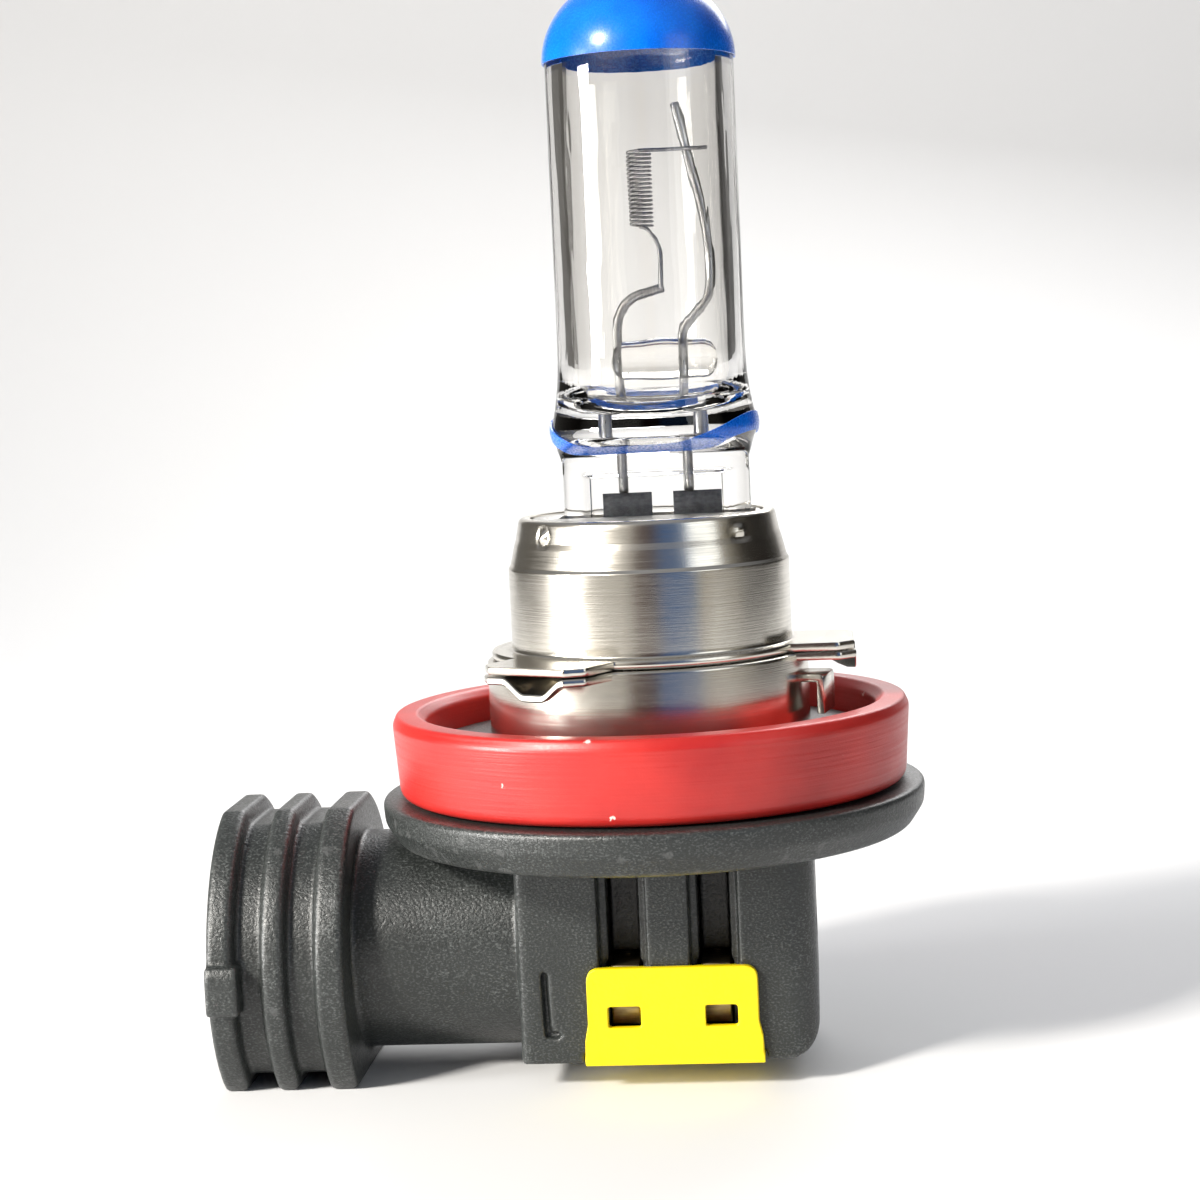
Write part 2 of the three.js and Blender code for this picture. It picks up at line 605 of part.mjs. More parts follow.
function shortLead() {
  const x = leadXs[0];
  return wire([[x, 0, leadFoot], [x, 0, bridgeTop + wireBend + 0.1], [x + 0.9, 0, bridgeTop + 2.4],
    [x + shortLeadSpan, 0, bridgeTop + 3.1]], leadRadius, 8, 24);
}

function glassBridge() {
  const left = leadXs[0] - bridgeOverhangs[0];
  const right = leadXs[1] + bridgeOverhangs[1];
  const corner = 0.7;
  const profile = [[0, left], [bridgeRadius - corner, left], [bridgeRadius - 0.2, left + 0.2],
    [bridgeRadius, left + corner], [bridgeRadius, right - corner], [bridgeRadius - 0.2, right - 0.2],
    [bridgeRadius - corner, right], [0, right]];
  const bead = turned(profile, 16).rotate([0, 90, 0]).scale([1, bridgeFlatness, 1])
    .translate([0, 0, capTop + bridgeRise]);
  const holes = leadXs.map((x) => rod(leadRadius + filmGap, 'z', capTop + bridgeRise - 2 * bridgeRadius,
    capTop + bridgeRise + 2 * bridgeRadius, [x, 0], 8));
  return cut(bead, holes);
}

/** The coil's centre line. */
class Coil extends THREE.Curve {
  getPoint(t, target = new THREE.Vector3()) {
    const angle = t * filamentTurns * 2 * Math.PI - Math.PI / 2;
    return target.set(filamentX + filamentRadius * Math.cos(angle), filamentRadius * Math.sin(angle),
      coilFoot + t * filamentLength);
  }
}

function filament() {
  const coil = sweep(new Coil(), filamentWire, 4, filamentTurns * 8);
  const reach = leadXs[1] + tailPast;
  const shortLeadEnd = leadXs[0] + shortLeadSpan - 0.15;
  const upper = wire([[filamentX, -filamentRadius, coilTop], [filamentX + 0.9, tailY, coilTop + 0.05],
    [reach, tailY, coilTop]], tailRadius, 6, 10);
  const lower = wire([[filamentX, -filamentRadius, coilFoot], [shortLeadEnd, tailY, coilFoot - 1.3],
    [shortLeadEnd, tailY, bridgeTop + 2.8]], tailRadius, 6, 12);
  return join([coil, upper, lower]);
}

function foil(x) {
  const [width, thickness] = foilSize;
  return block([x - width / 2, -thickness / 2, foilFoot], [x + width / 2, thickness / 2, foilTop]);
}

/** Wire from a foil's foot down through the well and its slot to the terminal. */
function outerPin(index) {
  const from = foilXs[index];
  const to = slotCentres[index];
  const foot = bladeHeight + bladeThickness / 2 + slip / 2;
  return wire([[from, 0, foilFoot - slip / 2], [from, 0, pinchFoot - 1.2], [to, pinY, wellBottom + 3.0],
    [to, pinY, foot]], pinRadius, 6, 30);
}

// ---------------------------------------------------------------- the bulb
const plastic = { color: 0x2f3432, roughness: 0.55, metalness: 0 };
const steel = { color: 0xb9b4aa, roughness: 0.3, metalness: 1 };
const glass = { color: 0xeef4f6, roughness: 0.03, metalness: 0, transparent: true, opacity: 0.35 };
const blueFilm = { color: 0x0f77f0, roughness: 0.2, metalness: 0, transparent: true, opacity: 0.9 };
const molybdenum = { color: 0x6d6f72, roughness: 0.45, metalness: 1 };

const bulb = new THREE.Group();

/** Adds one piece to the bulb under its own name. */
function add(name, body, look) {
  const mesh = new THREE.Mesh(geometryOf(body), new THREE.MeshStandardMaterial(look));
  mesh.name = name;
  bulb.add(mesh);
}

add('base_housing', baseHousing(), plastic);
add('window_cover', windowCover(), { color: 0xfff200, roughness: 0.45, metalness: 0 });
add('seal_ring', sealRing(), { color: 0xd23a32, roughness: 0.5, metalness: 0 });
add('collar_ring', collarRing(), steel);
add('cap_shell', capShell(), steel);
add('burner_clip', burnerClip(), { color: 0x9a978f, roughness: 0.4, metalness: 1 });
add('glass_envelope', glassEnvelope(), glass);
add('tip_coating', coating(domeFoot - tipCoatLap, tipTop + cutPast), blueFilm);
add('neck_coating', coating(bulgeMiddle - neckCoatBelow, bulgeMiddle + neckCoatAbove), blueFilm);
add('glass_bridge', glassBridge(), glass);
add('filament', filament(), { color: 0x77787a, roughness: 0.4, metalness: 1 });
add('long_lead_wire', longLead(), molybdenum);
add('short_lead_wire', shortLead(), molybdenum);
['left', 'right'].forEach((side, index) => {
  add(`foil_${side}`, foil(foilXs[index]), molybdenum);
  add(`outer_pin_${side}`, outerPin(index), { color: 0xa9a59b, roughness: 0.35, metalness: 1 });
  add(`terminal_${side}`, terminal(index), { color: 0xc9b27a, roughness: 0.35, metalness: 1 });
});

export default bulb;
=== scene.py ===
"""Looks of a halogen headlight bulb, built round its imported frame.

Every piece is made in millimetres in the frame's own axes: +Z up the bulb, the plug socket
towards -X and the terminal windows towards -Y. Meshes are scaled to metres as they are made.
"""

import logging
import math
from dataclasses import dataclass, field
from enum import Enum
from typing import Iterable, Sequence

import bmesh
import bpy
from mathutils import Matrix, Vector


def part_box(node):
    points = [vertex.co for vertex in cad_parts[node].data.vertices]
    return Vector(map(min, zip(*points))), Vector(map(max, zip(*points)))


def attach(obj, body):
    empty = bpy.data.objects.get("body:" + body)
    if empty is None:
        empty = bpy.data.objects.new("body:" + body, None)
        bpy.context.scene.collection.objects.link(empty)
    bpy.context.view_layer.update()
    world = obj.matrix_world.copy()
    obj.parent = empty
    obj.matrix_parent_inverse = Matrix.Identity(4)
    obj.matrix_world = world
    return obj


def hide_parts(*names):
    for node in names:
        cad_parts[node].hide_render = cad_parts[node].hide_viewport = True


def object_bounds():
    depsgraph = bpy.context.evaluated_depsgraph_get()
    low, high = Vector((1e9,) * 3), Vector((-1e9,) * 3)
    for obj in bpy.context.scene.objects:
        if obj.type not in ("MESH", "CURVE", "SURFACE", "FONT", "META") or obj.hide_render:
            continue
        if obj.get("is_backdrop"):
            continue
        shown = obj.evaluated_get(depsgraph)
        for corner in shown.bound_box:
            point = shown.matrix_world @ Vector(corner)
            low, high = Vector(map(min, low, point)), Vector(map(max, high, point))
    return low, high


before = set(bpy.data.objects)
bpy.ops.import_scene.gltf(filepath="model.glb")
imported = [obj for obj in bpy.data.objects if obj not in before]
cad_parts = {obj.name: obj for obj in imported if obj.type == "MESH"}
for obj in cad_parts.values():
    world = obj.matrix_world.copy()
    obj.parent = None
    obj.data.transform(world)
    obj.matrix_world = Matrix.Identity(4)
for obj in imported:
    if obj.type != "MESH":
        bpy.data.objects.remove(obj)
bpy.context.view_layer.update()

LOG = logging.getLogger("bulb")
MM = 0.001
Point2 = tuple[float, float]
Point3 = tuple[float, float, float]
Ring = list[Point3]

# Sizes in millimetres that more than one piece needs.
COLLAR_RADIUS = 9.5
STEEL_SHEET = 0.45
SLOT_CENTRES = (-1.67, 3.57)


# ---------------------------------------------------------------- small maths
def smoothstep(low: float, high: float, value: float) -> float:
    """Rise smoothly from 0 at low to 1 at high."""
    share = min(1.0, max(0.0, (value - low) / (high - low)))
    return share * share * (3.0 - 2.0 * share)


def angles_round(count: int) -> list[float]:
    """Give evenly spaced directions round a circle, in radians."""
    return [2 * math.pi * k / count for k in range(count)]


def circle(radius: float, height: float, count: int) -> list[Point2]:
    """Outline of a circle in Y and Z whose middle stands at a height."""
    return [(radius * math.cos(a), height + radius * math.sin(a)) for a in angles_round(count)]


def turn_from(degrees: float, direction: float) -> float:
    """Give the signed turn in radians from an angle in degrees to a direction."""
    return (direction - math.radians(degrees) + math.pi) % (2 * math.pi) - math.pi


def node_box(name: str) -> tuple[Vector, Vector]:
    """Give a frame node's lowest and highest corners in millimetres."""
    low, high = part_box(name)
    return low / MM, high / MM


def rounded(corners: Sequence[tuple[float, ...]], steps: int = 5, closed: bool = True) -> list[Point2]:
    """Round the corners of an outline.

    Args:
        corners: Points as (x, y) for a sharp corner or (x, y, radius) for a rounded one.
        steps: Steps in each rounded corner.
        closed: Whether the last corner joins the first.

    Returns:
        The outline with arcs in place of its rounded corners.
    """
    points: list[Point2] = []
    count = len(corners)
    for i, corner in enumerate(corners):
        here = Vector(corner[:2])
        radius = corner[2] if len(corner) > 2 else 0.0
        is_end = not closed and i in (0, count - 1)
        if radius <= 0.0 or is_end:
            points.append((here.x, here.y))
            continue
        before = Vector(corners[i - 1][:2]) - here
        after = Vector(corners[(i + 1) % count][:2]) - here
        half = before.angle(after) / 2.0
        reach = min(radius / math.tan(half), 0.49 * before.length, 0.49 * after.length)
        start, end = here + before.normalized() * reach, here + after.normalized() * reach
        for step in range(steps + 1):
            t = step / steps
            point = (1 - t) ** 2 * start + 2 * t * (1 - t) * here + t**2 * end
            points.append((point.x, point.y))
    return points


# ---------------------------------------------------------------- mesh work
def mesh_object(name: str, points: Iterable[Sequence[float]], faces: list[list[int]]) -> bpy.types.Object:
    """Make a mesh object from points in millimetres, its faces turned outwards.

    Args:
        name: Name of the piece.
        points: Corner points.
        faces: Faces as lists of point numbers.

    Returns:
        The new object, linked to the scene.
    """
    mesh = bpy.data.meshes.new(name)
    mesh.from_pydata([Vector(p) * MM for p in points], [], faces)
    bench = bmesh.new()
    bench.from_mesh(mesh)
    bmesh.ops.remove_doubles(bench, verts=bench.verts, dist=1e-7)
    bmesh.ops.recalc_face_normals(bench, faces=bench.faces)
    bench.to_mesh(mesh)
    bench.free()
    made = bpy.data.objects.new(name, mesh)
    bpy.context.scene.collection.objects.link(made)
    return made


def loft(name: str, rings: Sequence[Ring], wrap: bool = False) -> bpy.types.Object:
    """Skin a row of closed rings.

    Args:
        name: Name of the piece.
        rings: Rings of equal count; a ring of one point is a pole.
        wrap: Whether the last ring joins the first; otherwise open ends are capped.

    Returns:
        The lofted object.
    """
    points = [p for ring in rings for p in ring]
    starts = [0]
    for ring in rings:
        starts.append(starts[-1] + len(ring))
    faces: list[list[int]] = []
    pairs = [(i, i + 1) for i in range(len(rings) - 1)] + ([(len(rings) - 1, 0)] if wrap else [])
    for i, j in pairs:
        count = max(len(rings[i]), len(rings[j]))
        for k in range(count):
            a, b = (0 if len(rings[i]) == 1 else k), (0 if len(rings[i]) == 1 else (k + 1) % count)
            c, d = (0 if len(rings[j]) == 1 else (k + 1) % count), (0 if len(rings[j]) == 1 else k)
            corners = [starts[i] + a, starts[i] + b, starts[j] + c, starts[j] + d]
            faces.append(list(dict.fromkeys(corners)))
    if not wrap:
        for i in (0, len(rings) - 1):
            if len(rings[i]) > 2:
                faces.append(list(range(starts[i], starts[i + 1])))
    return mesh_object(name, points, faces)


def revolve(name: str, profile: Sequence[Point2], sides: int = 128,
            centre: Point2 = (0.0, 0.0)) -> bpy.types.Object:
    """Turn a closed (radius, height) profile about a vertical axis.

    Args:
        name: Name of the piece.
        profile: Points round the section; both ends on the axis for a solid body.
        sides: Facets round the axis.
        centre: Where the axis stands.

    Returns:
        The turned object.
    """
    on_axis = profile[0][0] == 0.0 and profile[-1][0] == 0.0
    rings: list[Ring] = []
    for radius, height in profile:
        if radius == 0.0:
            rings.append([(centre[0], centre[1], height)])
            continue
        rings.append([(centre[0] + radius * math.cos(a), centre[1] + radius * math.sin(a), height)
                      for a in angles_round(sides)])
    return loft(name, rings, wrap=not on_axis)


class Axis(Enum):
    """The axis that a prism is pushed along."""

    X = "x"
    Y = "y"
    Z = "z"


def prism(name: str, outline: Sequence[Point2], low: float, high: float,
          axis: Axis = Axis.Z) -> bpy.types.Object:
    """Push an outline along an axis.

    Args:
        name: Name of the piece.
        outline: Points in the other two axes, in their own order.
        low: Start along the axis.
        high: End along the axis.
        axis: The axis.

    Returns:
        The prism.
    """
    def place(u: float, v: float, w: float) -> Point3:
        """Put outline values into frame order."""
        return {Axis.X: (w, u, v), Axis.Y: (u, w, v), Axis.Z: (u, v, w)}[axis]

    return loft(name, [[place(u, v, w) for u, v in outline] for w in (low, high)])


def box(name: str, low: Sequence[float], high: Sequence[float]) -> bpy.types.Object:
    """Make a rectangular body between two corners."""
    outline = [(low[0], low[1]), (high[0], low[1]), (high[0], high[1]), (low[0], high[1])]
    return prism(name, outline, low[2], high[2])


def tube(name: str, path: Sequence[Vector], radius: float, sides: int = 16) -> bpy.types.Object:
    """Sweep a round section along points, with softly closed ends.

    Args:
        name: Name of the piece.
        path: Points along the centre line.
        radius: Radius of the section.
        sides: Facets round the section.

    Returns:
        The swept object.
    """
    tangents = [(path[min(i + 1, len(path) - 1)] - path[max(i - 1, 0)]).normalized()
                for i in range(len(path))]
    across = tangents[0].orthogonal().normalized()
    rings: list[Ring] = []
    ends = {0: -1.0, len(path) - 1: 1.0}
    for i, point in enumerate(path):
        across = (across - tangents[i] * across.dot(tangents[i])).normalized()
        beside = tangents[i].cross(across)

        def ring_at(middle: Vector, size: float) -> Ring:
            """Place one ring of the section."""
            return [tuple(middle + size * (across * math.cos(a) + beside * math.sin(a)))
                    for a in angles_round(sides)]

        body = ring_at(point, radius)
        if i in ends:
            tip = ring_at(point + tangents[i] * ends[i] * radius * 0.25, radius * 0.75)
            rings.extend([tip, body] if i == 0 else [body, tip])
        else:
            rings.append(body)
    return loft(name, rings)


def smooth_path(corners: Sequence[Point3], steps: int = 8) -> list[Vector]:
    """Pass a smooth curve through points.

    Args:
        corners: Points to pass through.
        steps: Steps between two points.

    Returns:
        Points along the curve.
    """
    knots = [Vector(c) for c in corners]
    knots = [2 * knots[0] - knots[1], *knots, 2 * knots[-1] - knots[-2]]
    path: list[Vector] = []
    for i in range(1, len(knots) - 2):
        p0, p1, p2, p3 = knots[i - 1:i + 3]
        for step in range(steps):
            t = step / steps
            path.append(0.5 * (2 * p1 + (p2 - p0) * t + (2 * p0 - 5 * p1 + 4 * p2 - p3) * t**2
                               + (3 * p1 - p0 - 3 * p2 + p3) * t**3))
    path.append(knots[-2])
    return path


def apply_modifiers(piece: bpy.types.Object) -> bpy.types.Object:
    """Write the result of an object's modifiers into its mesh."""
    graph = bpy.context.evaluated_depsgraph_get()
    made = bpy.data.meshes.new_from_object(piece.evaluated_get(graph))
    old = piece.data
    piece.modifiers.clear()
    piece.data = made
    bpy.data.meshes.remove(old)
    return piece


def combine(piece: bpy.types.Object, others: Iterable[bpy.types.Object], operation: str) -> bpy.types.Object:
    """Join bodies to one, or cut them out of it.

    Args:
        piece: The body that is kept.
        others: Bodies that are used up.
        operation: UNION, DIFFERENCE or INTERSECT.

    Returns:
        The kept body.
    """
    for other in others:
        modifier = piece.modifiers.new("combine", "BOOLEAN")
        modifier.operation = operation
        modifier.solver = "MANIFOLD"
        modifier.object = other
        apply_modifiers(piece)
        bpy.data.objects.remove(other)
    return piece


def bevel(piece: bpy.types.Object, width: float, segments: int = 3, angle: float = 35.0) -> bpy.types.Object:
    """Round the sharp edges of a body by a width in millimetres."""
    modifier = piece.modifiers.new("bevel", "BEVEL")
    modifier.width = width * MM
    modifier.segments = segments
    modifier.limit_method = "ANGLE"
    modifier.angle_limit = math.radians(angle)
    modifier.use_clamp_overlap = True
    return apply_modifiers(piece)


def mould(piece: bpy.types.Object, grain: float, passes: int, keep: float) -> bpy.types.Object:
    """Give a body the soft edges of a moulding by remeshing and relaxing it.

    Args:
        piece: The body, made of clean closed meshes.
        grain: Size of the remeshed facets in millimetres.
        passes: How many times the surface is relaxed.
        keep: Share of the facets left at the end.

    Returns:
        The moulded body.
    """
    remesh = piece.modifiers.new("remesh", "REMESH")
    remesh.mode = "VOXEL"
    remesh.voxel_size = grain * MM
    relax = piece.modifiers.new("relax", "SMOOTH")
    relax.factor = 0.5
    relax.iterations = passes
    thin = piece.modifiers.new("thin", "DECIMATE")
    thin.ratio = keep
    return apply_modifiers(piece)


def shade(piece: bpy.types.Object, angle: float = 35.0) -> bpy.types.Object:
    """Shade a piece smoothly, apart from edges sharper than an angle."""
    piece.data.shade_smooth()
    piece.data.set_sharp_from_angle(angle=math.radians(angle))
    return piece


def finish_piece(piece: bpy.types.Object, material: bpy.types.Material, slot: str,
                 *nodes: str) -> bpy.types.Object:
    """Dress a piece and tie it to the frame.

    Args:
        piece: The finished mesh.
        material: Its material.
        slot: The record's material slot; not used.
        nodes: Frame nodes that it stands for.

    Returns:
        The piece.
    """
    piece.data.materials.clear()
    piece.data.materials.append(material)
    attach(piece, "root")
    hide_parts(*nodes)
    LOG.info("%s: %d faces", piece.name, len(piece.data.polygons))
    return piece


# ---------------------------------------------------------------- materials
class Nodes:
    """Adds and joins the nodes of one tree."""

    def __init__(self, tree: bpy.types.NodeTree) -> None:
        """Take the tree."""
        self.tree = tree

    def link(self, source: bpy.types.NodeSocket, target: bpy.types.NodeSocket) -> None:
        """Join two sockets."""
        self.tree.links.new(source, target)

    def add(self, kind: str, inputs: dict[object, object] | None = None,
            **settings: object) -> bpy.types.Node:
        """Add a node.

        Args:
            kind: Node type after "ShaderNode".
            inputs: Values or sockets for its inputs, by name or number.
            settings: Properties of the node.

        Returns:
            The node.
        """
        node = self.tree.nodes.new("ShaderNode" + kind)
        for name, value in settings.items():
            setattr(node, name, value)
        for key, value in (inputs or {}).items():
            if isinstance(value, bpy.types.NodeSocket):
                self.link(value, node.inputs[key])
            else:
                node.inputs[key].default_value = value
        return node

    def ramp(self, source: bpy.types.NodeSocket, low: float, high: float,
             out_low: float = 0.0, out_high: float = 1.0) -> bpy.types.NodeSocket:
        """Map a value from one range to another, clamped."""
        node = self.add("MapRange", {"Value": source, "From Min": low, "From Max": high,
                                     "To Min": out_low, "To Max": out_high})
        return node.outputs["Result"]

    def mix(self, share: bpy.types.NodeSocket, first: object, second: object) -> bpy.types.NodeSocket:
        """Mix two colours, or a socket and a colour, by a share."""
        return self.add("Mix", {0: share, 6: first, 7: second}, data_type="RGBA").outputs[2]

    def maths(self, operation: str, first: object, second: object) -> bpy.types.NodeSocket:
        """Combine two numbers."""
        return self.add("Math", {0: first, 1: second}, operation=operation).outputs[0]


class Bench(Nodes):
    """The nodes of one material, with its place in millimetres."""

    def __init__(self, name: str) -> None:
        """Start a material with one Principled shader."""
        self.material = bpy.data.materials.new(name)
        self.material.use_nodes = True
        super().__init__(self.material.node_tree)
        self.shader = self.tree.nodes["Principled BSDF"]
        source = self.add("TexCoord").outputs["Object"]
        self.place = self.add("VectorMath", {0: source, "Scale": 1 / MM}, operation="SCALE").outputs[0]

    def set(self, **values: object) -> None:
        """Set the shader's own sockets, named with underscores for spaces."""
        for name, value in values.items():
            self.shader.inputs[name.replace("_", " ")].default_value = value

    def stretched(self, x: float, y: float, z: float) -> bpy.types.NodeSocket:
        """Give the place in millimetres, scaled along each axis."""
        return self.add("VectorMath", {0: self.place, 1: (x, y, z)}, operation="MULTIPLY").outputs[0]

    def noise(self, scale: float, detail: float = 4.0,
              place: bpy.types.NodeSocket | None = None) -> bpy.types.NodeSocket:
        """Give noise with a size of 1 / scale millimetres."""
        node = self.add("TexNoise", {"Vector": place or self.place, "Scale": scale, "Detail": detail})
        return node.outputs["Fac"]

    def bump(self, height: bpy.types.NodeSocket, depth: float, strength: float = 1.0) -> None:
        """Drive the shader's normal from a height, with its depth in millimetres."""
        node = self.add("Bump", {"Height": height, "Distance": depth * MM, "Strength": strength})
        self.link(node.outputs[0], self.shader.inputs["Normal"])

    def colour(self, source: bpy.types.NodeSocket) -> None:
        """Drive the base colour."""
        self.link(source, self.shader.inputs["Base Color"])

    def roughness(self, source: bpy.types.NodeSocket) -> None:
        """Drive the roughness."""
        self.link(source, self.shader.inputs["Roughness"])


def rgb(red: float, green: float, blue: float) -> tuple[float, float, float, float]:
    """Make an opaque colour from linear values."""
    return (red, green, blue, 1.0)


@dataclass(frozen=True)
class MouldedPlastic:
    """Glass-filled black plastic with pale flecks, paler edges that are partly wear and partly painted
    highlight, and painted shade inside the slots.
    """

    dark: tuple[float, ...] = rgb(0.018, 0.0205, 0.0195)
    fleck: tuple[float, ...] = rgb(0.19, 0.205, 0.20)
    # Paler edge tone: partly wear, partly painted edge highlight.
    edge: tuple[float, ...] = rgb(0.075, 0.078, 0.077)
    # Painted shade: near-black colour for the slots' insides.
    hollow: tuple[float, ...] = rgb(0.0015, 0.0014, 0.0013)
    # Box round both slots that gets the painted shade.
    slots_middle: Point3 = (0.95, -5.0, 6.6)
    slots_half: Point3 = (4.6, 1.6, 5.6)

    def build(self) -> bpy.types.Material:
        """Make the material."""
        bench = Bench("black_plastic")
        cloud = bench.noise(0.35, 3.0)
        grain = bench.noise(5.5, 6.0)
        fibres = bench.noise(8.0, 3.0, bench.stretched(0.8, 1.0, 1.25))
        flecks = bench.maths("MULTIPLY", bench.ramp(fibres, 0.5, 0.76),
                             bench.ramp(cloud, 0.3, 0.7, 0.25, 0.6))
        base = bench.mix(flecks, self.dark, self.fleck)
        # Convex edges turn paler by pointiness: partly wear, partly painted edge highlight.
        point = bench.add("NewGeometry").outputs["Pointiness"]
        wear_and_edge_highlight = bench.maths("MULTIPLY", bench.ramp(point, 0.51, 0.58), bench.ramp(grain, 0.35, 0.6, 0.3, 0.8))
        # Painted shade: the slots' insides are mixed towards near black over the flecked, edge-paled base.
        bench.colour(bench.mix(self.painted_slot_shade_mask(bench), bench.mix(wear_and_edge_highlight, base, self.edge), self.hollow))
        bench.roughness(bench.ramp(grain, 0.3, 0.7, 0.28, 0.46))
        bench.bump(bench.maths("ADD", grain, bench.maths("MULTIPLY", fibres, 0.5)), 0.04, 0.9)
        bench.set(Specular_IOR_Level=0.55)
        return bench.material

    def painted_slot_shade_mask(self, bench: Bench) -> bpy.types.NodeSocket:
        """Mask of the slots' insides, where painted shade turns the plastic near black.

        Args:
            bench: Bench of the plastic.

        Returns:
            One inside the slots and zero elsewhere.
        """
        away = bench.add("VectorMath", {0: bench.place, 1: self.slots_middle}, operation="SUBTRACT")
        spot = bench.add("SeparateXYZ", {0: away.outputs[0]}).outputs
        mask = None
        for axis, half in zip("XYZ", self.slots_half):
            near = bench.ramp(bench.maths("ABSOLUTE", spot[axis], 0.0), half, half - 0.6)
            mask = near if mask is None else bench.maths("MULTIPLY", mask, near)
        return mask


@dataclass(frozen=True)
class CoverPlastic:
    """Saturated yellow plastic with a soft moulded skin."""

    light: tuple[float, ...] = rgb(0.80, 0.63, 0.0)
    deep: tuple[float, ...] = rgb(0.72, 0.53, 0.0)

    def build(self) -> bpy.types.Material:
        """Make the material."""
        bench = Bench("yellow_plastic")
        cloud = bench.noise(0.5, 4.0)
        grain = bench.noise(6.0, 5.0)
        bench.colour(bench.mix(bench.ramp(cloud, 0.35, 0.75, 0.0, 0.5), self.light, self.deep))
        bench.roughness(bench.ramp(grain, 0.3, 0.7, 0.36, 0.5))
        bench.bump(grain, 0.02, 0.6)
        bench.set(Subsurface_Weight=0.12, Subsurface_Scale=0.6 * MM)
        return bench.material


@dataclass(frozen=True)
class Silicone:
    """Satin red silicone with faint moulding bands and a little dust."""

    light: tuple[float, ...] = rgb(0.52, 0.022, 0.017)
    deep: tuple[float, ...] = rgb(0.41, 0.012, 0.010)
    dust: tuple[float, ...] = rgb(0.85, 0.55, 0.5)

    def build(self) -> bpy.types.Material:
        """Make the material."""
        bench = Bench("red_silicone")
        cloud = bench.noise(0.25, 4.0)
        bands = bench.noise(1.0, 3.0, bench.stretched(0.12, 0.12, 4.5))
        grain = bench.noise(9.0, 3.0)
        base = bench.mix(bench.ramp(cloud, 0.3, 0.7), self.light, self.deep)
        specks = bench.add("TexVoronoi", {"Vector": bench.place, "Scale": 0.42}).outputs["Distance"]
        rough_specks = bench.maths("ADD", specks, bench.ramp(bench.noise(5.0, 2.0), 0.3, 0.7, 0.0, 0.09))
        dusty = bench.maths("MULTIPLY", bench.ramp(rough_specks, 0.125, 0.10), bench.ramp(cloud, 0.47, 0.5))
        bench.colour(bench.mix(dusty, base, self.dust))
        bench.roughness(bench.ramp(bench.maths("ADD", grain, bands), 0.7, 1.3, 0.30, 0.44))
        bench.bump(bench.maths("ADD", bands, bench.maths("MULTIPLY", grain, 0.25)), 0.035, 0.7)
        bench.set(Subsurface_Weight=0.15, Subsurface_Scale=0.5 * MM, Specular_IOR_Level=0.6)
        return bench.material


@dataclass(frozen=True)
class TurnedSteel:
    """Sheet steel brushed round the bulb's axis."""

    name: str = "stainless_steel"
    light: tuple[float, ...] = rgb(0.80, 0.76, 0.68)
    dark: tuple[float, ...] = rgb(0.63, 0.60, 0.54)
    smooth: float = 0.15
    rough: float = 0.26

    def build(self) -> bpy.types.Material:
        """Make the material."""
        bench = Bench(self.name)
        parts = bench.add("SeparateXYZ", {0: bench.place}).outputs
        turn = bench.maths("ARCTAN2", parts["Y"], parts["X"])
        radius = bench.add("VectorMath", {0: bench.stretched(1.0, 1.0, 0.0)}, operation="LENGTH")
        around = bench.add("CombineXYZ", {"X": bench.maths("MULTIPLY", turn, 1.6),
                                          "Y": radius.outputs["Value"], "Z": parts["Z"]})
        fine = bench.add("VectorMath", {0: around.outputs[0], 1: (1.0, 6.0, 16.0)}, operation="MULTIPLY")
        lines = bench.noise(1.0, 6.0, fine.outputs[0])
        cloud = bench.noise(0.3, 5.0)
        both = bench.maths("ADD", lines, cloud)
        bench.colour(bench.mix(bench.ramp(both, 0.75, 1.25), self.light, self.dark))
        bench.roughness(bench.ramp(both, 0.7, 1.3, self.smooth, self.rough))
        bench.bump(bench.maths("ADD", lines, bench.maths("MULTIPLY", cloud, 3.0)), 0.008, 0.22)
        bench.set(Metallic=1.0, Anisotropic=0.3)
        return bench.material


@dataclass(frozen=True)
class Wire:
    """Drawn metal wire or strip with fine streaks."""

    name: str
    light: tuple[float, ...]
    dark: tuple[float, ...]
    smooth: float = 0.25
    rough: float = 0.45
    streaks: tuple[float, float, float] = (8.0, 8.0, 1.2)

    def build(self) -> bpy.types.Material:
        """Make the material."""
        bench = Bench(self.name)
        lines = bench.noise(1.0, 5.0, bench.stretched(*self.streaks))
        cloud = bench.noise(1.1, 4.0)
        both = bench.maths("ADD", lines, cloud)
        bench.colour(bench.mix(bench.ramp(both, 0.75, 1.25), self.light, self.dark))
        bench.roughness(bench.ramp(both, 0.7, 1.3, self.smooth, self.rough))
        bench.bump(lines, 0.01, 0.5)
        bench.set(Metallic=1.0)
        return bench.material


@dataclass(frozen=True)
class DrawnGlass:
    """Clear glass with the faint long waves of drawn tube."""

    tint: tuple[float, ...] = rgb(0.975, 0.965, 0.945)
    waves: float = 0.10

    def build(self) -> bpy.types.Material:
        """Make the material."""
        bench = Bench("clear_glass")
        bench.set(Base_Color=self.tint, Transmission_Weight=1.0, IOR=1.49, Roughness=0.0)
        waves = bench.noise(1.0, 3.0, bench.stretched(0.55, 0.55, 0.06))
        bench.bump(waves, self.waves, 0.5)
        return bench.material


@dataclass(frozen=True)
class BlueFilm:
    """Glossy blue lacquer that light still passes through."""

    light: tuple[float, ...] = rgb(0.0, 0.19, 0.86)
    deep: tuple[float, ...] = rgb(0.0, 0.125, 0.72)

    def build(self) -> bpy.types.Material:
        """Make the material."""
        bench = Bench("blue_film")
        cloud = bench.noise(0.4, 4.0)
        grain = bench.noise(7.0, 3.0)
        bench.colour(bench.mix(bench.ramp(cloud, 0.3, 0.7), self.light, self.deep))
        bench.roughness(bench.ramp(grain, 0.3, 0.7, 0.22, 0.32))
        bench.bump(grain, 0.01, 0.4)
        bench.set(Transmission_Weight=0.2, IOR=1.45, Coat_Weight=0.2, Coat_Roughness=0.12)
        return bench.material


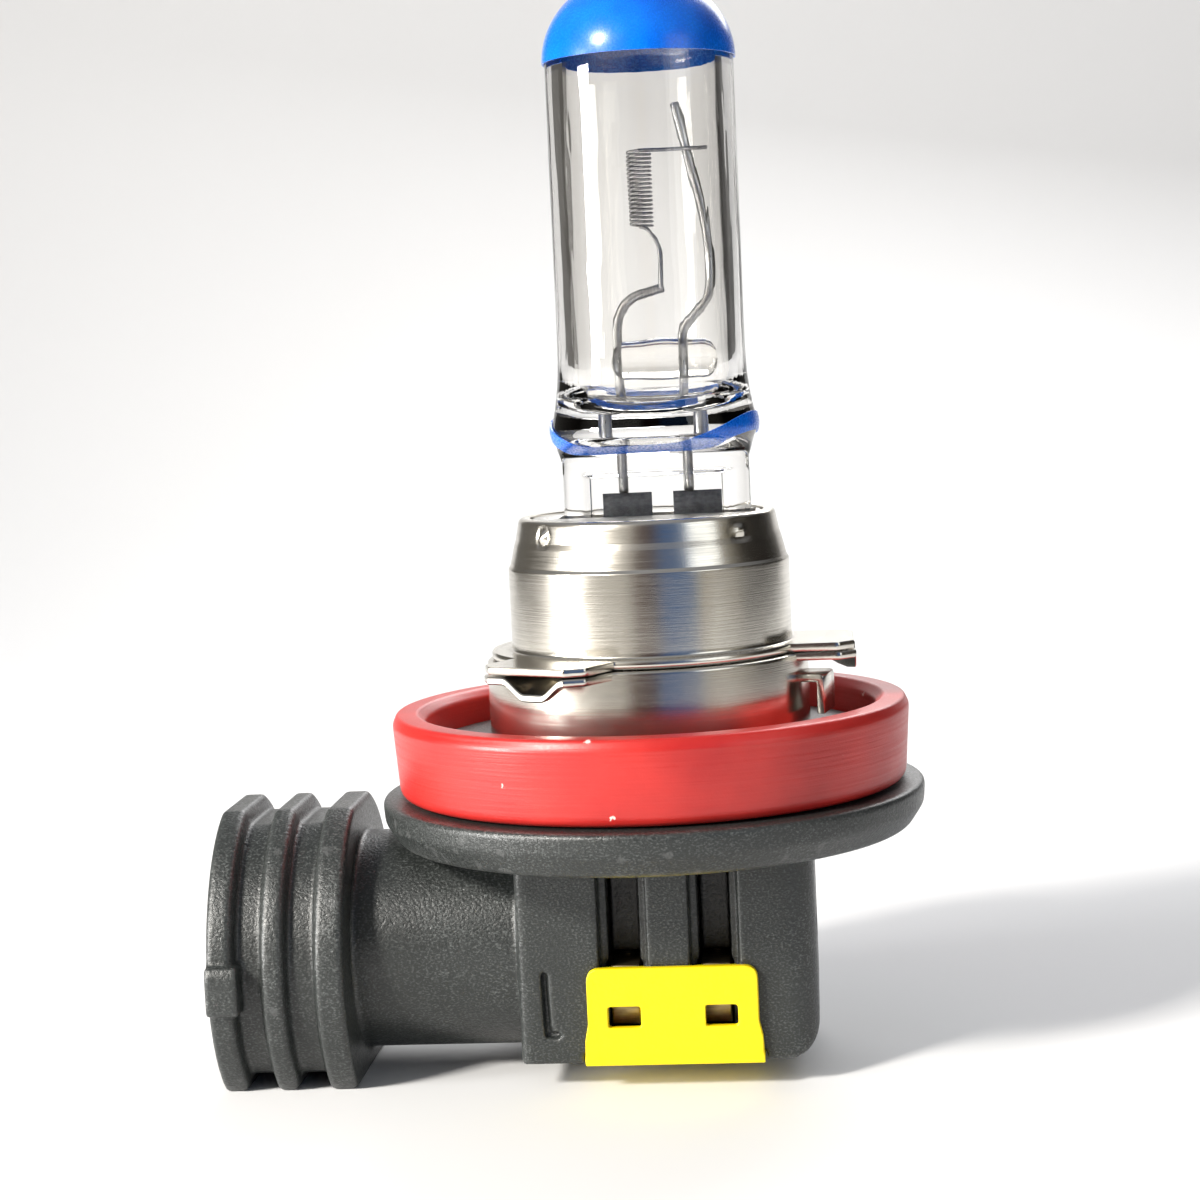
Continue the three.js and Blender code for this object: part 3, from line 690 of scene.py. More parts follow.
class Palette:
    """Every finish of the bulb, built once."""

    def __init__(self) -> None:
        """Build the finishes."""
        self.plastic = MouldedPlastic().build()
        self.yellow = CoverPlastic().build()
        self.silicone = Silicone().build()
        self.steel = TurnedSteel().build()
        self.spring = TurnedSteel("spring_steel", rgb(0.5, 0.49, 0.46), rgb(0.3, 0.29, 0.27),
                                  0.25, 0.42).build()
        self.glass = DrawnGlass().build()
        self.film = BlueFilm().build()
        self.molybdenum = Wire("molybdenum", rgb(0.62, 0.62, 0.62), rgb(0.4, 0.4, 0.41)).build()
        self.tungsten = Wire("tungsten", rgb(0.50, 0.50, 0.51), rgb(0.26, 0.26, 0.27), 0.28, 0.46).build()
        self.foil = Wire("molybdenum_foil", rgb(0.16, 0.17, 0.19), rgb(0.07, 0.075, 0.085),
                         0.4, 0.6, (3.0, 3.0, 5.0)).build()
        self.nickel = Wire("nickel_wire", rgb(0.66, 0.63, 0.57), rgb(0.48, 0.46, 0.42)).build()
        # Brass darkened below its own tone: painted shade for the contacts seen through the cover's windows.
        self.brass = Wire("contact_brass", rgb(0.52, 0.42, 0.25), rgb(0.30, 0.23, 0.13),
                          0.28, 0.45, (1.0, 9.0, 9.0)).build()


# ---------------------------------------------------------------- base housing and cover
@dataclass
class Base:
    """Black moulded base: terminal block, flange, hub, neck and ribbed plug socket."""

    palette: Palette
    block_right: float = 9.4
    block_left: float = -7.8
    block_half_depth: float = 7.5
    block_height: float = 12.3
    end_radius: float = 1.9
    flange_thickness: float = 2.6
    hub_radius: float = 13.1
    well_radius: float = 8.0
    well_floor: float = 1.6
    collar_radius: float = COLLAR_RADIUS
    collar_sheet: float = STEEL_SHEET
    collar_sunk: float = 2.1
    neck_radius: float = 6.5
    neck_height: float = 6.0
    shroud_radius: float = 9.1
    shroud_height: float = 5.1
    shroud_rise: float = 9.9
    top_flat: float = 9.4
    bottom_flat: float = 6.7
    rib_widths: tuple[float, ...] = (1.5, 1.3, 1.7)
    groove_widths: tuple[float, ...] = (1.7, 1.8)
    groove_depth: float = 0.9
    wall: float = 2.0
    socket_step: float = 6.8
    socket_depth: float = 13.1
    socket_inner: float = 4.9
    slot_centres: tuple[float, float] = SLOT_CENTRES
    slot_width: float = 2.8
    slot_step: float = 0.5
    slot_step_depth: float = 1.1
    slot_depth: float = 3.2
    slot_floor: float = 1.6

    def __post_init__(self) -> None:
        """Take the overall places from the frame."""
        low, high = node_box("base_housing")
        self.mouth = low.x
        self.flange_radius = high.x
        self.hub_top = high.z
        self.flange_top = self.block_height + self.flange_thickness

    def shroud_outline(self, inset: float, steps: int = 44) -> list[Point2]:
        """Outline of the socket's outside in Y and Z, let in by an inset."""
        radius = self.shroud_radius - inset
        top = self.shroud_height + self.top_flat - inset
        bottom = self.shroud_height - self.bottom_flat + inset
        outline = []
        for k in range(2 * steps):
            angle = math.pi * (k + 0.5) / steps
            rise = self.shroud_rise - inset if angle < math.pi else radius
            z = self.shroud_height + rise * math.sin(angle)
            outline.append((radius * math.cos(angle), min(top, max(bottom, z))))
        return outline

    def block_body(self) -> bpy.types.Object:
        """Terminal block, rounded along its far end."""
        radius = self.end_radius
        plan = rounded([
            (self.block_left, -self.block_half_depth, 0.6),
            (self.block_right, -self.block_half_depth, radius),
            (self.block_right, self.block_half_depth, radius), (self.block_left, self.block_half_depth, 0.35),
        ], steps=8)
        rings = []
        for k in range(13):
            height = radius * (1 - math.cos(math.pi / 2 * k / 12))
            limit = self.block_right - radius + math.sqrt(radius**2 - (radius - height) ** 2)
            rings.append([(min(x, limit), y, height) for x, y in plan])
        rings.append([(x, y, self.block_height + 0.3) for x, y in plan])
        return loft("base_housing", rings)

    def round_bodies(self) -> list[bpy.types.Object]:
        """Flange with hub, and the neck."""
        flange = rounded([
            (0.0, self.block_height), (self.flange_radius - 0.95, self.block_height, 0.8),
            (self.flange_radius - 0.1, self.block_height + 1.3, 0.8),
            (self.flange_radius, self.flange_top, 0.35), (self.hub_radius, self.flange_top, 0.1),
            (self.hub_radius, self.hub_top, 0.3), (0.0, self.hub_top),
        ], closed=False)
        root = self.mouth + sum(self.rib_widths) + sum(self.groove_widths)
        neck = prism("neck", circle(self.neck_radius, self.neck_height, 96), root - 0.3,
                     self.block_left + 0.3, Axis.X)
        return [revolve("flange", flange, 192), neck]

    def shroud_body(self) -> bpy.types.Object:
        """Ribbed outside of the socket, as one skin along X."""
        chamfer = 0.22
        stations: list[Point2] = []
        x = self.mouth
        for i, width in enumerate(self.rib_widths):
            stations += [(x, chamfer), (x + chamfer, 0.0), (x + width - chamfer, 0.0), (x + width, chamfer)]
            x += width
            if i < len(self.groove_widths):
                stations += [(x + 0.12, self.groove_depth),
                             (x + self.groove_widths[i] - 0.12, self.groove_depth)]
                x += self.groove_widths[i]
        rings = [[(x, y, z) for y, z in self.shroud_outline(inset)] for x, inset in stations]
        return loft("shroud", rings)

    def latch_body(self) -> bpy.types.Object:
        """Catch on the front of the first rib, sloped towards its top."""
        middle, half = self.shroud_height, 1.45
        front = -self.shroud_radius - 0.5
        outline = [(front + 1.8, middle - half), (front, middle - half + 0.1), (front, middle + half - 0.55),
                   (front + 0.25, middle + half), (front + 1.8, middle + half)]
        return prism("latch", outline, self.mouth, self.mouth + 1.9, Axis.X)

    def cutters(self) -> list[bpy.types.Object]:
        """Bodies for every hollow of the base."""
        past = 1.0
        well = revolve("well", [(0.0, self.flange_top - self.well_floor),
                                (self.well_radius, self.flange_top - self.well_floor),
                                (self.well_radius, self.hub_top + past), (0.0, self.hub_top + past)], 96)
        gap = 0.15
        inner, outer = self.collar_radius - self.collar_sheet - gap, self.collar_radius + gap
        foot = self.hub_top - self.collar_sunk
        seat = revolve("seat", [(inner, foot), (outer, foot), (outer, self.hub_top + past),
                                (inner, self.hub_top + past)], 128)
        mouth = prism("mouth", self.shroud_outline(self.wall), self.mouth - past,
                      self.mouth + self.socket_step, Axis.X)
        bore = prism("bore", circle(self.socket_inner, self.shroud_height, 64), self.mouth,
                     self.mouth + self.socket_depth, Axis.X)
        notch = box("notch", (self.block_right - 0.5, -3.6, 4.6), (self.block_right + past, 3.6, 7.0))
        cover_low, cover_high = node_box("window_cover")
        seat_gap = 0.1
        wrap = box("wrap", (cover_low.x - seat_gap, -self.block_half_depth - past, -past),
                   (cover_high.x + seat_gap, cover_high.y + seat_gap, 0.5 + seat_gap))
        return [well, seat, mouth, bore, notch, wrap, *self.mark_cutters(), *self.slot_cutters(),
                *self.strip_cutters()]

    def mark_cutters(self) -> list[bpy.types.Object]:
        """Engraved line on the block's front that turns at its foot."""
        front, width, depth = -self.block_half_depth, 0.38, 0.5
        x, foot, top = self.block_left + 1.45, 1.5, 5.4
        lean, turned = 0.12, 0.95
        slant = [(x - lean, top), (x - lean + width, top), (x + width, foot + width),
                 (x + turned, foot + width), (x + turned, foot), (x, foot)]
        return [prism("mark", slant, front - 1.0, front + depth, Axis.Y)]

    def slot_cutters(self) -> list[bpy.types.Object]:
        """Two stepped slots in the block's front."""
        bodies = []
        front, half = -self.block_half_depth, self.slot_width / 2
        for x in self.slot_centres:
            bodies.append(box("slot", (x - half, front - 1.0, self.slot_floor),
                              (x + half, front + self.slot_step_depth, self.block_height)))
            bodies.append(box("slot", (x - half + self.slot_step, front, self.slot_floor),
                              (x + half - self.slot_step, front + self.slot_depth, self.block_height - 0.01)))
        return bodies

    def strip_cutters(self) -> list[bpy.types.Object]:
        """Channels that the terminals lie in."""
        gap = 0.22
        bodies = []
        for side in ("left", "right"):
            low, high = node_box(f"terminal_{side}")
            strip_top, blade_y = high.z, high.y - 1.4
            bodies.append(box("channel", (self.mouth + self.socket_depth - 0.5, blade_y - 1.4 - gap,
                                          strip_top - 0.8 - gap),
                              (high.x + gap, blade_y + 1.4 + gap, strip_top + gap)))
            bodies.append(box("channel", (high.x - 1.7 - gap, low.y - gap, strip_top - 0.81 - gap),
                              (high.x + gap - 0.01, blade_y, strip_top + gap + 0.01)))
        return bodies

    def build(self) -> bpy.types.Object:
        """Mould the base and dress it."""
        outer = [*self.round_bodies(), self.shroud_body(), self.latch_body()]
        body = combine(self.block_body(), outer, "UNION")
        combine(body, self.cutters(), "DIFFERENCE")
        grain = 0.13
        mould(body, grain, 5, 0.28)
        shade(body, 60.0)
        return finish_piece(body, self.palette.plastic, "black_plastic", "base_housing")


@dataclass
class Cover:
    """Yellow cover over the terminal welds."""

    palette: Palette
    upper_width: float = 9.8
    thickness: float = 0.5
    step_height: float = 1.5
    corner: float = 0.8
    rib_depth: float = 0.7
    window_width: float = 1.85
    window_height: float = 1.2
    window_spacing: float = 5.55
    window_middle: float = 2.8
    slot_centres: tuple[float, float] = SLOT_CENTRES
    slot_width: float = 2.6

    def build(self) -> bpy.types.Object:
        """Mould the cover and dress it."""
        low, high = node_box("window_cover")
        middle, half = (low.x + high.x) / 2, self.upper_width / 2
        front, back = low.y, low.y + self.thickness
        plate = prism("window_cover", rounded([
            (low.x, low.z), (high.x, low.z), (high.x - 0.06, self.step_height, 0.8),
            (middle + half, self.step_height + 0.9, 0.8), (middle + half, high.z, self.corner),
            (middle - half, high.z, self.corner), (middle - half, self.step_height + 0.9, 0.8),
            (low.x + 0.06, self.step_height, 0.8),
        ], steps=6), front, back, Axis.Y)
        wrap = box("wrap", (low.x, front, low.z), (high.x, high.y, low.z + self.thickness))
        ribs = [box("rib", (x - self.slot_width / 2, back - 0.1, 1.75), (x + self.slot_width / 2,
                back + self.rib_depth, high.z - 0.15)) for x in self.slot_centres]
        windows = []
        for side in (-0.5, 0.5):
            x, tall = middle + side * self.window_spacing, self.window_height / 2
            windows.append(box("window", (x - self.window_width / 2, front - 1, self.window_middle - tall),
                               (x + self.window_width / 2, back + 0.01, self.window_middle + tall)))
            wide = self.window_width / 2 + 0.3
            windows.append(box("relief", (x - wide, back, self.window_middle - tall - 0.45),
                               (x + wide, back + 2, self.window_middle + tall + 0.3)))
        body = combine(plate, [wrap, *ribs], "UNION")
        combine(body, windows, "DIFFERENCE")
        mould(body, 0.07, 4, 0.3)
        shade(body, 60.0)
        return finish_piece(body, self.palette.yellow, "yellow_plastic", "window_cover")


@dataclass
class Terminals:
    """Blade contacts of the socket."""

    palette: Palette
    blade_width: float = 2.8
    thickness: float = 0.8
    tab_width: float = 1.7
    tab_thickness: float = 0.6

    def build(self) -> list[bpy.types.Object]:
        """Make and dress both blades and both pins."""
        made = []
        for side in ("left", "right"):
            low, high = node_box(f"terminal_{side}")
            y = high.y - self.blade_width / 2
            half = self.blade_width / 2
            near = high.x - self.tab_width
            outline = [(low.x, y - half + 0.7), (low.x + 1.3, y - half), (near, y - half), (near, low.y),
                       (high.x, low.y), (high.x, y + half), (low.x + 1.3, y + half), (low.x, y + half - 0.7)]
            strip = prism(f"terminal_{side}", outline, high.z - self.thickness, high.z)
            tab = box("tab", (near, low.y, low.z), (high.x, low.y + self.tab_thickness, high.z - 0.1))
            combine(strip, [tab], "UNION")
            shade(bevel(strip, 0.12, 3), 40.0)
            made.append(finish_piece(strip, self.palette.brass, "contact_brass", f"terminal_{side}"))
        return made


# ---------------------------------------------------------------- seal, collar and cap
@dataclass
class Seal:
    """Red ring round the hub, wider at its top."""

    palette: Palette
    inner: float = 13.3
    bottom_radius: float = 15.0

    def build(self) -> bpy.types.Object:
        """Turn the ring and dress it."""
        low, high = node_box("seal_ring")
        ring = revolve("seal_ring", rounded([
            (self.inner, low.z, 0.15), (self.bottom_radius, low.z, 0.75), (high.x, high.z - 0.6, 0.7),
            (high.x - 0.25, high.z - 0.03, 0.3), (self.inner + 0.5, high.z, 0.35),
            (self.inner, high.z - 0.5, 0.5),
        ], steps=6), 256)
        shade(ring, 80.0)
        return finish_piece(ring, self.palette.silicone, "red_silicone", "seal_ring")


@dataclass
class LugPlate:
    """Flat steel flange with three lugs, as a radius for every direction."""

    plate_radius: float = 9.3
    reach: float = 12.3
    half_width: float = 3.5
    chamfer: float = 0.9
    angles: tuple[float, ...] = (0.0, 120.0, 240.0)

    def directions(self) -> list[float]:
        """Directions in radians, close together round the lugs."""
        fine = [a + s * 0.35 for a in self.angles for s in range(-66, 67)]
        coarse = [a for a in (2.5 * k for k in range(144))
                  if all(abs((a - lug + 180) % 360 - 180) > 23.3 for lug in self.angles)]
        return [math.radians(a) for a in sorted({round(a % 360, 4) for a in fine + coarse})]

    def radius(self, direction: float) -> float:
        """Outer radius in one direction."""
        best = self.plate_radius
        for lug in self.angles:
            turn = turn_from(lug, direction)
            if abs(turn) > 1.2:
                continue
            along, across = math.cos(turn), abs(math.sin(turn))
            flat_end = self.reach / along
            side = self.half_width / max(across, 1e-6)
            cut = (self.reach + self.half_width - self.chamfer) / (along + across)
            best = max(best, min(flat_end, side, cut))
        return best


@dataclass
class Metalwork:
    """Steel collar, cap and burner holder."""

    palette: Palette
    plate: LugPlate = field(default_factory=LugPlate)
    sheet: float = STEEL_SHEET
    collar_radius: float = COLLAR_RADIUS
    cap_offset: float = 0.3
    cap_radius: float = 8.3
    shoulder_radius: float = 8.15
    crease_radius: float = 7.85
    top_radius: float = 7.55
    shoulder_drop: float = 2.8
    crease_drop: float = 1.6
    mouth_radius: float = 6.9
    stop_reach: float = 1.4
    dip_turn: float = 2.0
    dip_half: float = 2.1
    dip_depth: float = 0.9
    dimple_turns: tuple[float, ...] = (-47.0, 47.0, 133.0, 227.0)

    def dip(self, direction: float, radius: float) -> float:
        """How far a collar lug's end is pressed down at its middle."""
        deepest = 0.0
        for lug in self.plate.angles:
            away = abs(turn_from(lug + self.dip_turn, direction)) * radius
            deepest = max(deepest, 1.0 - smoothstep(self.dip_half * 0.25, self.dip_half, away))
        return self.dip_depth * deepest * smoothstep(self.collar_radius + 0.4, self.plate.reach - 0.3, radius)

    def collar(self) -> bpy.types.Object:
        """Collar tube with its lugged plate and bent stop."""
        low, high = node_box("collar_ring")
        inner, outer = self.collar_radius - self.sheet, self.collar_radius
        tube_skin = revolve("collar_ring", rounded([
            (inner, low.z), (outer, low.z), (outer, high.z, 0.5), (inner, high.z, 0.1),
        ], steps=7), 192)
        top, foot = high.z - 0.02, high.z - self.sheet
        directions = self.plate.directions()
        rings: list[Ring] = [
            *(self.plate_ring(directions, k / 6, foot) for k in range(6)),
            self.plate_ring(directions, 1.0, foot, -0.07), self.plate_ring(directions, 1.0, foot + 0.08),
            self.plate_ring(directions, 1.0, top - 0.08), self.plate_ring(directions, 1.0, top, -0.07),
            *(self.plate_ring(directions, k / 6, top) for k in range(5, -1, -1)),
        ]
        joined = join_meshes([tube_skin, loft("lugs", rings, wrap=True), self.stop(high.z)])
        shade(joined, 40.0)
        return finish_piece(joined, self.palette.steel, "stainless_steel", "collar_ring")

    def ring(self, directions: Sequence[float], radius: float, height: float, centre: float = 0.0) -> Ring:
        """One round ring at a height."""
        return [(centre + radius * math.cos(a), radius * math.sin(a), height) for a in directions]

    def plate_ring(self, directions: Sequence[float], share: float, height: float,
                   inset: float = 0.0) -> Ring:
        """One ring of the lugged plate, at a share of the way from the collar's inside to its edge."""
        root = self.collar_radius - self.sheet + 0.05
        ring: Ring = []
        for a in directions:
            radius = root + share * (self.plate.radius(a) - root) + inset
            ring.append((radius * math.cos(a), radius * math.sin(a), height - self.dip(a, radius)))
        return ring

    def stop(self, plate_top: float) -> bpy.types.Object:
        """Bent tab under the first lug."""
        out = self.collar_radius + self.stop_reach
        top = plate_top - self.sheet - 0.8
        outline = [(self.collar_radius - 0.2, top), (out - 0.25, top), (out - 0.05, top - 0.08),
                   (out, top - 0.3), (out, top - 2.3), (out - self.sheet, top - 2.3),
                   (out - self.sheet, top - self.sheet),
                   (self.collar_radius - 0.2, top - self.sheet)]
        tab = prism("stop", outline, -1.5, 1.5, Axis.Y)
        bevel(tab, 0.06, 2)
        tab.data.transform(Matrix.Rotation(math.radians(self.plate.angles[0] - 12.0), 4, "Z"))
        return tab

    def cap(self) -> bpy.types.Object:
        """Drawn cap with its lugged foot, creases and weld dimples."""
        low, high = node_box("cap_shell")
        foot, top, sheet = low.z, high.z, self.sheet
        shoulder, crease = top - self.shoulder_drop, top - self.crease_drop
        outside = rounded([
            (self.cap_radius + 0.45, foot + sheet), (self.cap_radius, foot + sheet, 0.5),
            (self.cap_radius, shoulder - 0.15, 0.15), (self.shoulder_radius + 0.02, shoulder + 0.05, 0.12),
            (self.crease_radius + 0.06, crease - 0.06, 0.12), (self.crease_radius - 0.06, crease + 0.3, 0.2),
            (self.top_radius, top, 0.45), (self.mouth_radius, top - 0.04, 0.1),
        ], steps=6, closed=False)
        inside = rounded([
            (self.mouth_radius, top - sheet), (self.top_radius - sheet, top - sheet, 0.3),
            (self.crease_radius - sheet, crease, 0.2), (self.cap_radius - sheet, shoulder - 0.3, 0.2),
            (self.cap_radius - sheet, foot, 0.1),
        ], steps=4, closed=False)
        directions = self.plate.directions()
        rings: list[Ring] = []
        stations = ((0.0, 0.0, 0.0), (1.0, 0.0, -0.06), (1.0, 0.1, 0.0), (1.0, sheet - 0.1, 0.0),
                    (1.0, sheet, -0.06), (0.5, sheet, 0.0))
        for share, height, inset in stations:
            rings.append(self.cap_plate_ring(directions, share, foot + height, inset))
        for radius, height in self.refine(outside):
            ring: Ring = []
            for a in directions:
                pressed = radius - self.dimple(a, height, (crease + top) / 2 - 0.1)
                ring.append((self.cap_offset + pressed * math.cos(a), pressed * math.sin(a), height))
            rings.append(ring)
        rings += [self.ring(directions, r, z, self.cap_offset) for r, z in inside]
        piece = loft("cap_shell", rings, wrap=True)
        shade(piece, 40.0)
        return finish_piece(piece, self.palette.steel, "stainless_steel", "cap_shell")

    def refine(self, profile: Sequence[Point2], step: float = 0.16) -> list[Point2]:
        """Split long spans of a profile so that dimples have points to press."""
        fine: list[Point2] = [profile[0]]
        for (r0, z0), (r1, z1) in zip(profile, profile[1:]):
            count = max(1, round(math.hypot(r1 - r0, z1 - z0) / step))
            fine += [(r0 + (r1 - r0) * k / count, z0 + (z1 - z0) * k / count) for k in range(1, count + 1)]
        return fine

    def dimple(self, direction: float, height: float, middle: float) -> float:
        """How deep a weld dimple presses the cap at one place."""
        depth = 0.0
        for turn in self.dimple_turns:
            away = math.hypot(turn_from(turn - 90.0, direction) * self.crease_radius, height - middle)
            moat, bead = math.exp(-(((away - 0.5) / 0.14) ** 2)), math.exp(-((away / 0.3) ** 2))
            depth += 0.09 * moat - 0.17 * bead
        return depth

    def cap_plate_ring(self, directions: Sequence[float], share: float, height: float, inset: float) -> Ring:
        """One ring of the cap's lugged foot, which follows the collar's plate."""
        root = self.cap_radius + 0.45
        centre = self.cap_offset * (1.0 - share)
        ring: Ring = []
        for a in directions:
            edge = self.plate.radius(a) - 0.1 + inset
            radius = root + share * (edge - root)
            ring.append((centre + radius * math.cos(a), radius * math.sin(a), height))
        return ring

    def holder(self) -> bpy.types.Object:
        """Spring holder inside the cap that grips the pinch."""
        low, high = node_box("burner_clip")
        centre = (low.x + high.x) / 2
        outer = (high.x - low.x) / 2
        inner = outer - self.sheet
        boss = self.mouth_radius - 0.12
        shelf = node_box("cap_shell")[1].z - self.sheet - 0.2
        skirt = revolve("burner_clip", rounded([
            (inner, low.z), (outer, low.z), (outer, low.z + 2.3, 0.3), (outer - 0.35, shelf, 0.2),
            (boss + 0.02, shelf), (boss, high.z, 0.15), (1.0, high.z), (1.0, shelf - self.sheet),
            (inner - 0.3, shelf - self.sheet, 0.2), (inner, low.z + 2.2, 0.3),
        ], steps=4), 128, (centre, 0.0))
        pinch_low, pinch_high = node_box("glass_envelope")
        middle = (pinch_low.x + pinch_high.x) / 2
        opening = box("opening", (middle - 5.75, -1.85, low.z - 1), (middle + 5.75, 1.85, high.z + 1))
        combine(skirt, [opening], "DIFFERENCE")
        jaws = []
        for side in (-1, 1):
            y0, y1 = sorted((side * 1.85, side * 2.3))
            jaw = box("jaw", (middle - 4.2, y0, low.z + 0.6), (middle + 4.2, y1, high.z - 0.05))
            jaws.append(bevel(jaw, 0.1, 2))
        piece = join_meshes([bevel(skirt, 0.06, 2), *jaws])
        shade(piece, 40.0)
        return finish_piece(piece, self.palette.spring, "spring_steel", "burner_clip")

    def build(self) -> list[bpy.types.Object]:
        """Make and dress the three steel pieces."""
        return [self.collar(), self.cap(), self.holder()]


def join_meshes(pieces: Sequence[bpy.types.Object]) -> bpy.types.Object:
    """Put several meshes into the first one's object."""
    bench = bmesh.new()
    for piece in pieces:
        bench.from_mesh(piece.data)
    bench.to_mesh(pieces[0].data)
    bench.free()
    for piece in pieces[1:]:
        bpy.data.objects.remove(piece)
    return pieces[0]


# ---------------------------------------------------------------- burner
@dataclass
class Burner:
    """Glass envelope with its blue coats, wires, foils and filament."""

    palette: Palette
    sides: int = 144
    radius: float = 5.5
    wall: float = 1.0
    bulge: float = 6.05
    half_pinch: float = 1.7
    pinch_rise: float = 2.9
    neck_rise: float = 3.9
    rail_rise: float = 2.3
    bulge_rise: float = 5.1
    tube_rise: float = 26.2
    dome: float = 5.0
    tip_radius: float = 3.75
    coat: float = 0.1
    film_gap: float = 0.03
    tip_coat_rise: float = 25.7
    neck_coat_foot: float = 3.55
    neck_coat_height: float = 0.5
    neck_coat_rise: float = 1.35
    neck_coat_turn: float = -14.0
    lead_radius: float = 0.29
    filament_radius: float = 0.65
    filament_turns: int = 18
    filament_x: float = 0.77
    filament_length: float = 4.35
    filament_wire: float = 0.085
    tail_y: float = -0.45
    tail_radius: float = 0.12
    pin_radius: float = 0.4

    def __post_init__(self) -> None:
        """Take the places of the glass and cap from the frame."""
        low, high = node_box("glass_envelope")
        self.centre = (low.x + high.x) / 2
        self.foot, self.tip = low.z, high.z
        self.cap_top = node_box("cap_shell")[1].z

    def outline(self) -> list[Point2]:
        """Points up the outside, as (radius, height) above the cap."""
        z = self.cap_top
        curve = [(self.radius, z + self.pinch_rise + 0.2), (self.radius + 0.28, z + self.bulge_rise - 1.1),
                 (self.bulge, z + self.bulge_rise - 0.1), (self.radius + 0.3, z + self.bulge_rise + 1.3),
                 (self.radius + 0.06, z + self.bulge_rise + 3.2), (self.radius, z + self.bulge_rise + 6.0)]
        lower = [(p.x, p.y) for p in smooth_path([(r, h, 0.0) for r, h in curve], 12)]
        tall = [(self.radius, z + self.bulge_rise + 6.0 + k * 1.2) for k in range(1, 13)]
        end = math.acos(self.tip_radius / self.radius)
        crown = [(self.radius * math.cos(a), z + self.tube_rise + self.dome * math.sin(a))
                 for a in (end * k / 14 for k in range(15))]
        shoulder_z = crown[-1][1]
        height = self.tip - shoulder_z - 0.35
        nose = [(self.tip_radius - 0.12, shoulder_z + 0.22), (self.tip_radius - 0.16, shoulder_z + 0.45)]
        nose += [((self.tip_radius - 0.16) * math.cos(a), shoulder_z + 0.45 + (height - 0.1) * math.sin(a))
                 for a in (math.pi / 2 * k / 12 for k in range(1, 12))]
        return lower + [p for p in tall if p[1] < z + self.tube_rise - 0.3] + crown + nose

    def section(self, radius: float, height: float, grow: float) -> Ring:
        """One ring of the glass: round above the bulge, flattened with side rails in the pinch."""
        z = height - self.cap_top
        flat = 1.0 - smoothstep(self.neck_rise - 0.45, self.neck_rise + 0.75, z)
        ring: Ring = []
        for a in angles_round(self.sides):
            c, s = math.cos(a), math.sin(a)
            power = 1.0 - 0.62 * flat
            x = math.copysign(abs(c) ** power, c) * (radius + grow)
            y = math.copysign(abs(s) ** power, s)
            rail = smoothstep(self.radius - 1.6, self.radius - 1.2, abs(x))
            thick = max(rail, smoothstep(self.rail_rise - 0.12, self.rail_rise + 0.12, z))
            half = self.half_pinch * (0.72 + 0.28 * thick)
            depth = (radius + grow) * (1 - flat) + (half + grow) * flat
            ring.append((self.centre + x, y * depth, height))
        return ring

    def skin(self, low: float, high: float, grow: float) -> list[Ring]:
        """Rings of the outside between two heights above the cap."""
        points = [p for p in self.outline() if low <= p[1] - self.cap_top <= high]
        return [self.section(r, h, grow) for r, h in points]

    def envelope(self) -> bpy.types.Object:
        """Glass body with its inner hollow."""
        pinch = [(self.radius, self.foot), (self.radius, self.foot + 0.15)]
        pinch += [(self.radius, self.foot + 0.15 + k * 0.9) for k in range(1, 8)]
        pinch += [(self.radius, self.cap_top + self.rail_rise + k * 0.06) for k in range(-3, 4)]
        pinch = [p for p in pinch if p[1] < self.cap_top + self.pinch_rise]
        rings = [self.section(r - (0.15 if h == self.foot else 0.0), h, 0.0)
                 for r, h in pinch + self.outline()]
        rings.append([(self.centre, 0.0, self.tip)])
        outer = loft("glass_envelope", rings)
        z = self.cap_top
        inner_radius = self.radius - self.wall
        floor = z + self.bulge_rise + 0.25
        hollow: list[Point2] = [(0.0, floor), (1.6, floor + 0.06), (3.0, floor + 0.3), (3.9, floor + 0.8),
                                (4.35, floor + 1.5), (inner_radius, floor + 2.4)]
        hollow += [(inner_radius, floor + 2.4 + k * 1.5) for k in range(1, 12)]
        crown = z + self.tube_rise
        hollow = [p for p in hollow if p[1] < crown - 0.3]
        hollow += [(inner_radius * math.cos(a), crown + (self.dome - self.wall) * math.sin(a))
                   for a in (math.pi / 2 * k / 12 for k in range(12))]
        hollow.append((0.0, crown + self.dome - self.wall))
        inner = revolve("hollow", hollow, self.sides, (self.centre, 0.0))
        inner.data.flip_normals()
        piece = join_meshes([outer, inner])
        shade(piece, 70.0)
        return finish_piece(piece, self.palette.glass, "clear_glass", "glass_envelope")

    def film(self, name: str, low: float, high: float) -> bpy.types.Object:
        """Thin closed skin of lacquer from a height above the cap over the tip."""
        outer = self.skin(low, high, self.film_gap + self.coat)
        inner = self.skin(low, high, self.film_gap)
        rings = [[(self.centre, 0.0, self.tip + self.film_gap)], *reversed(inner), *outer,
                 [(self.centre, 0.0, self.tip + self.film_gap + self.coat)]]
        piece = shade(loft(name, rings), 60.0)
        return finish_piece(piece, self.palette.film, "blue_film", name)

    def radius_at(self, height: float) -> float:
        """Outside radius of the glass at a height."""
        points = self.outline()
        for (r0, z0), (r1, z1) in zip(points, points[1:]):
            if z0 <= height <= z1:
                return r0 + (r1 - r0) * (height - z0) / (z1 - z0)
        return self.radius

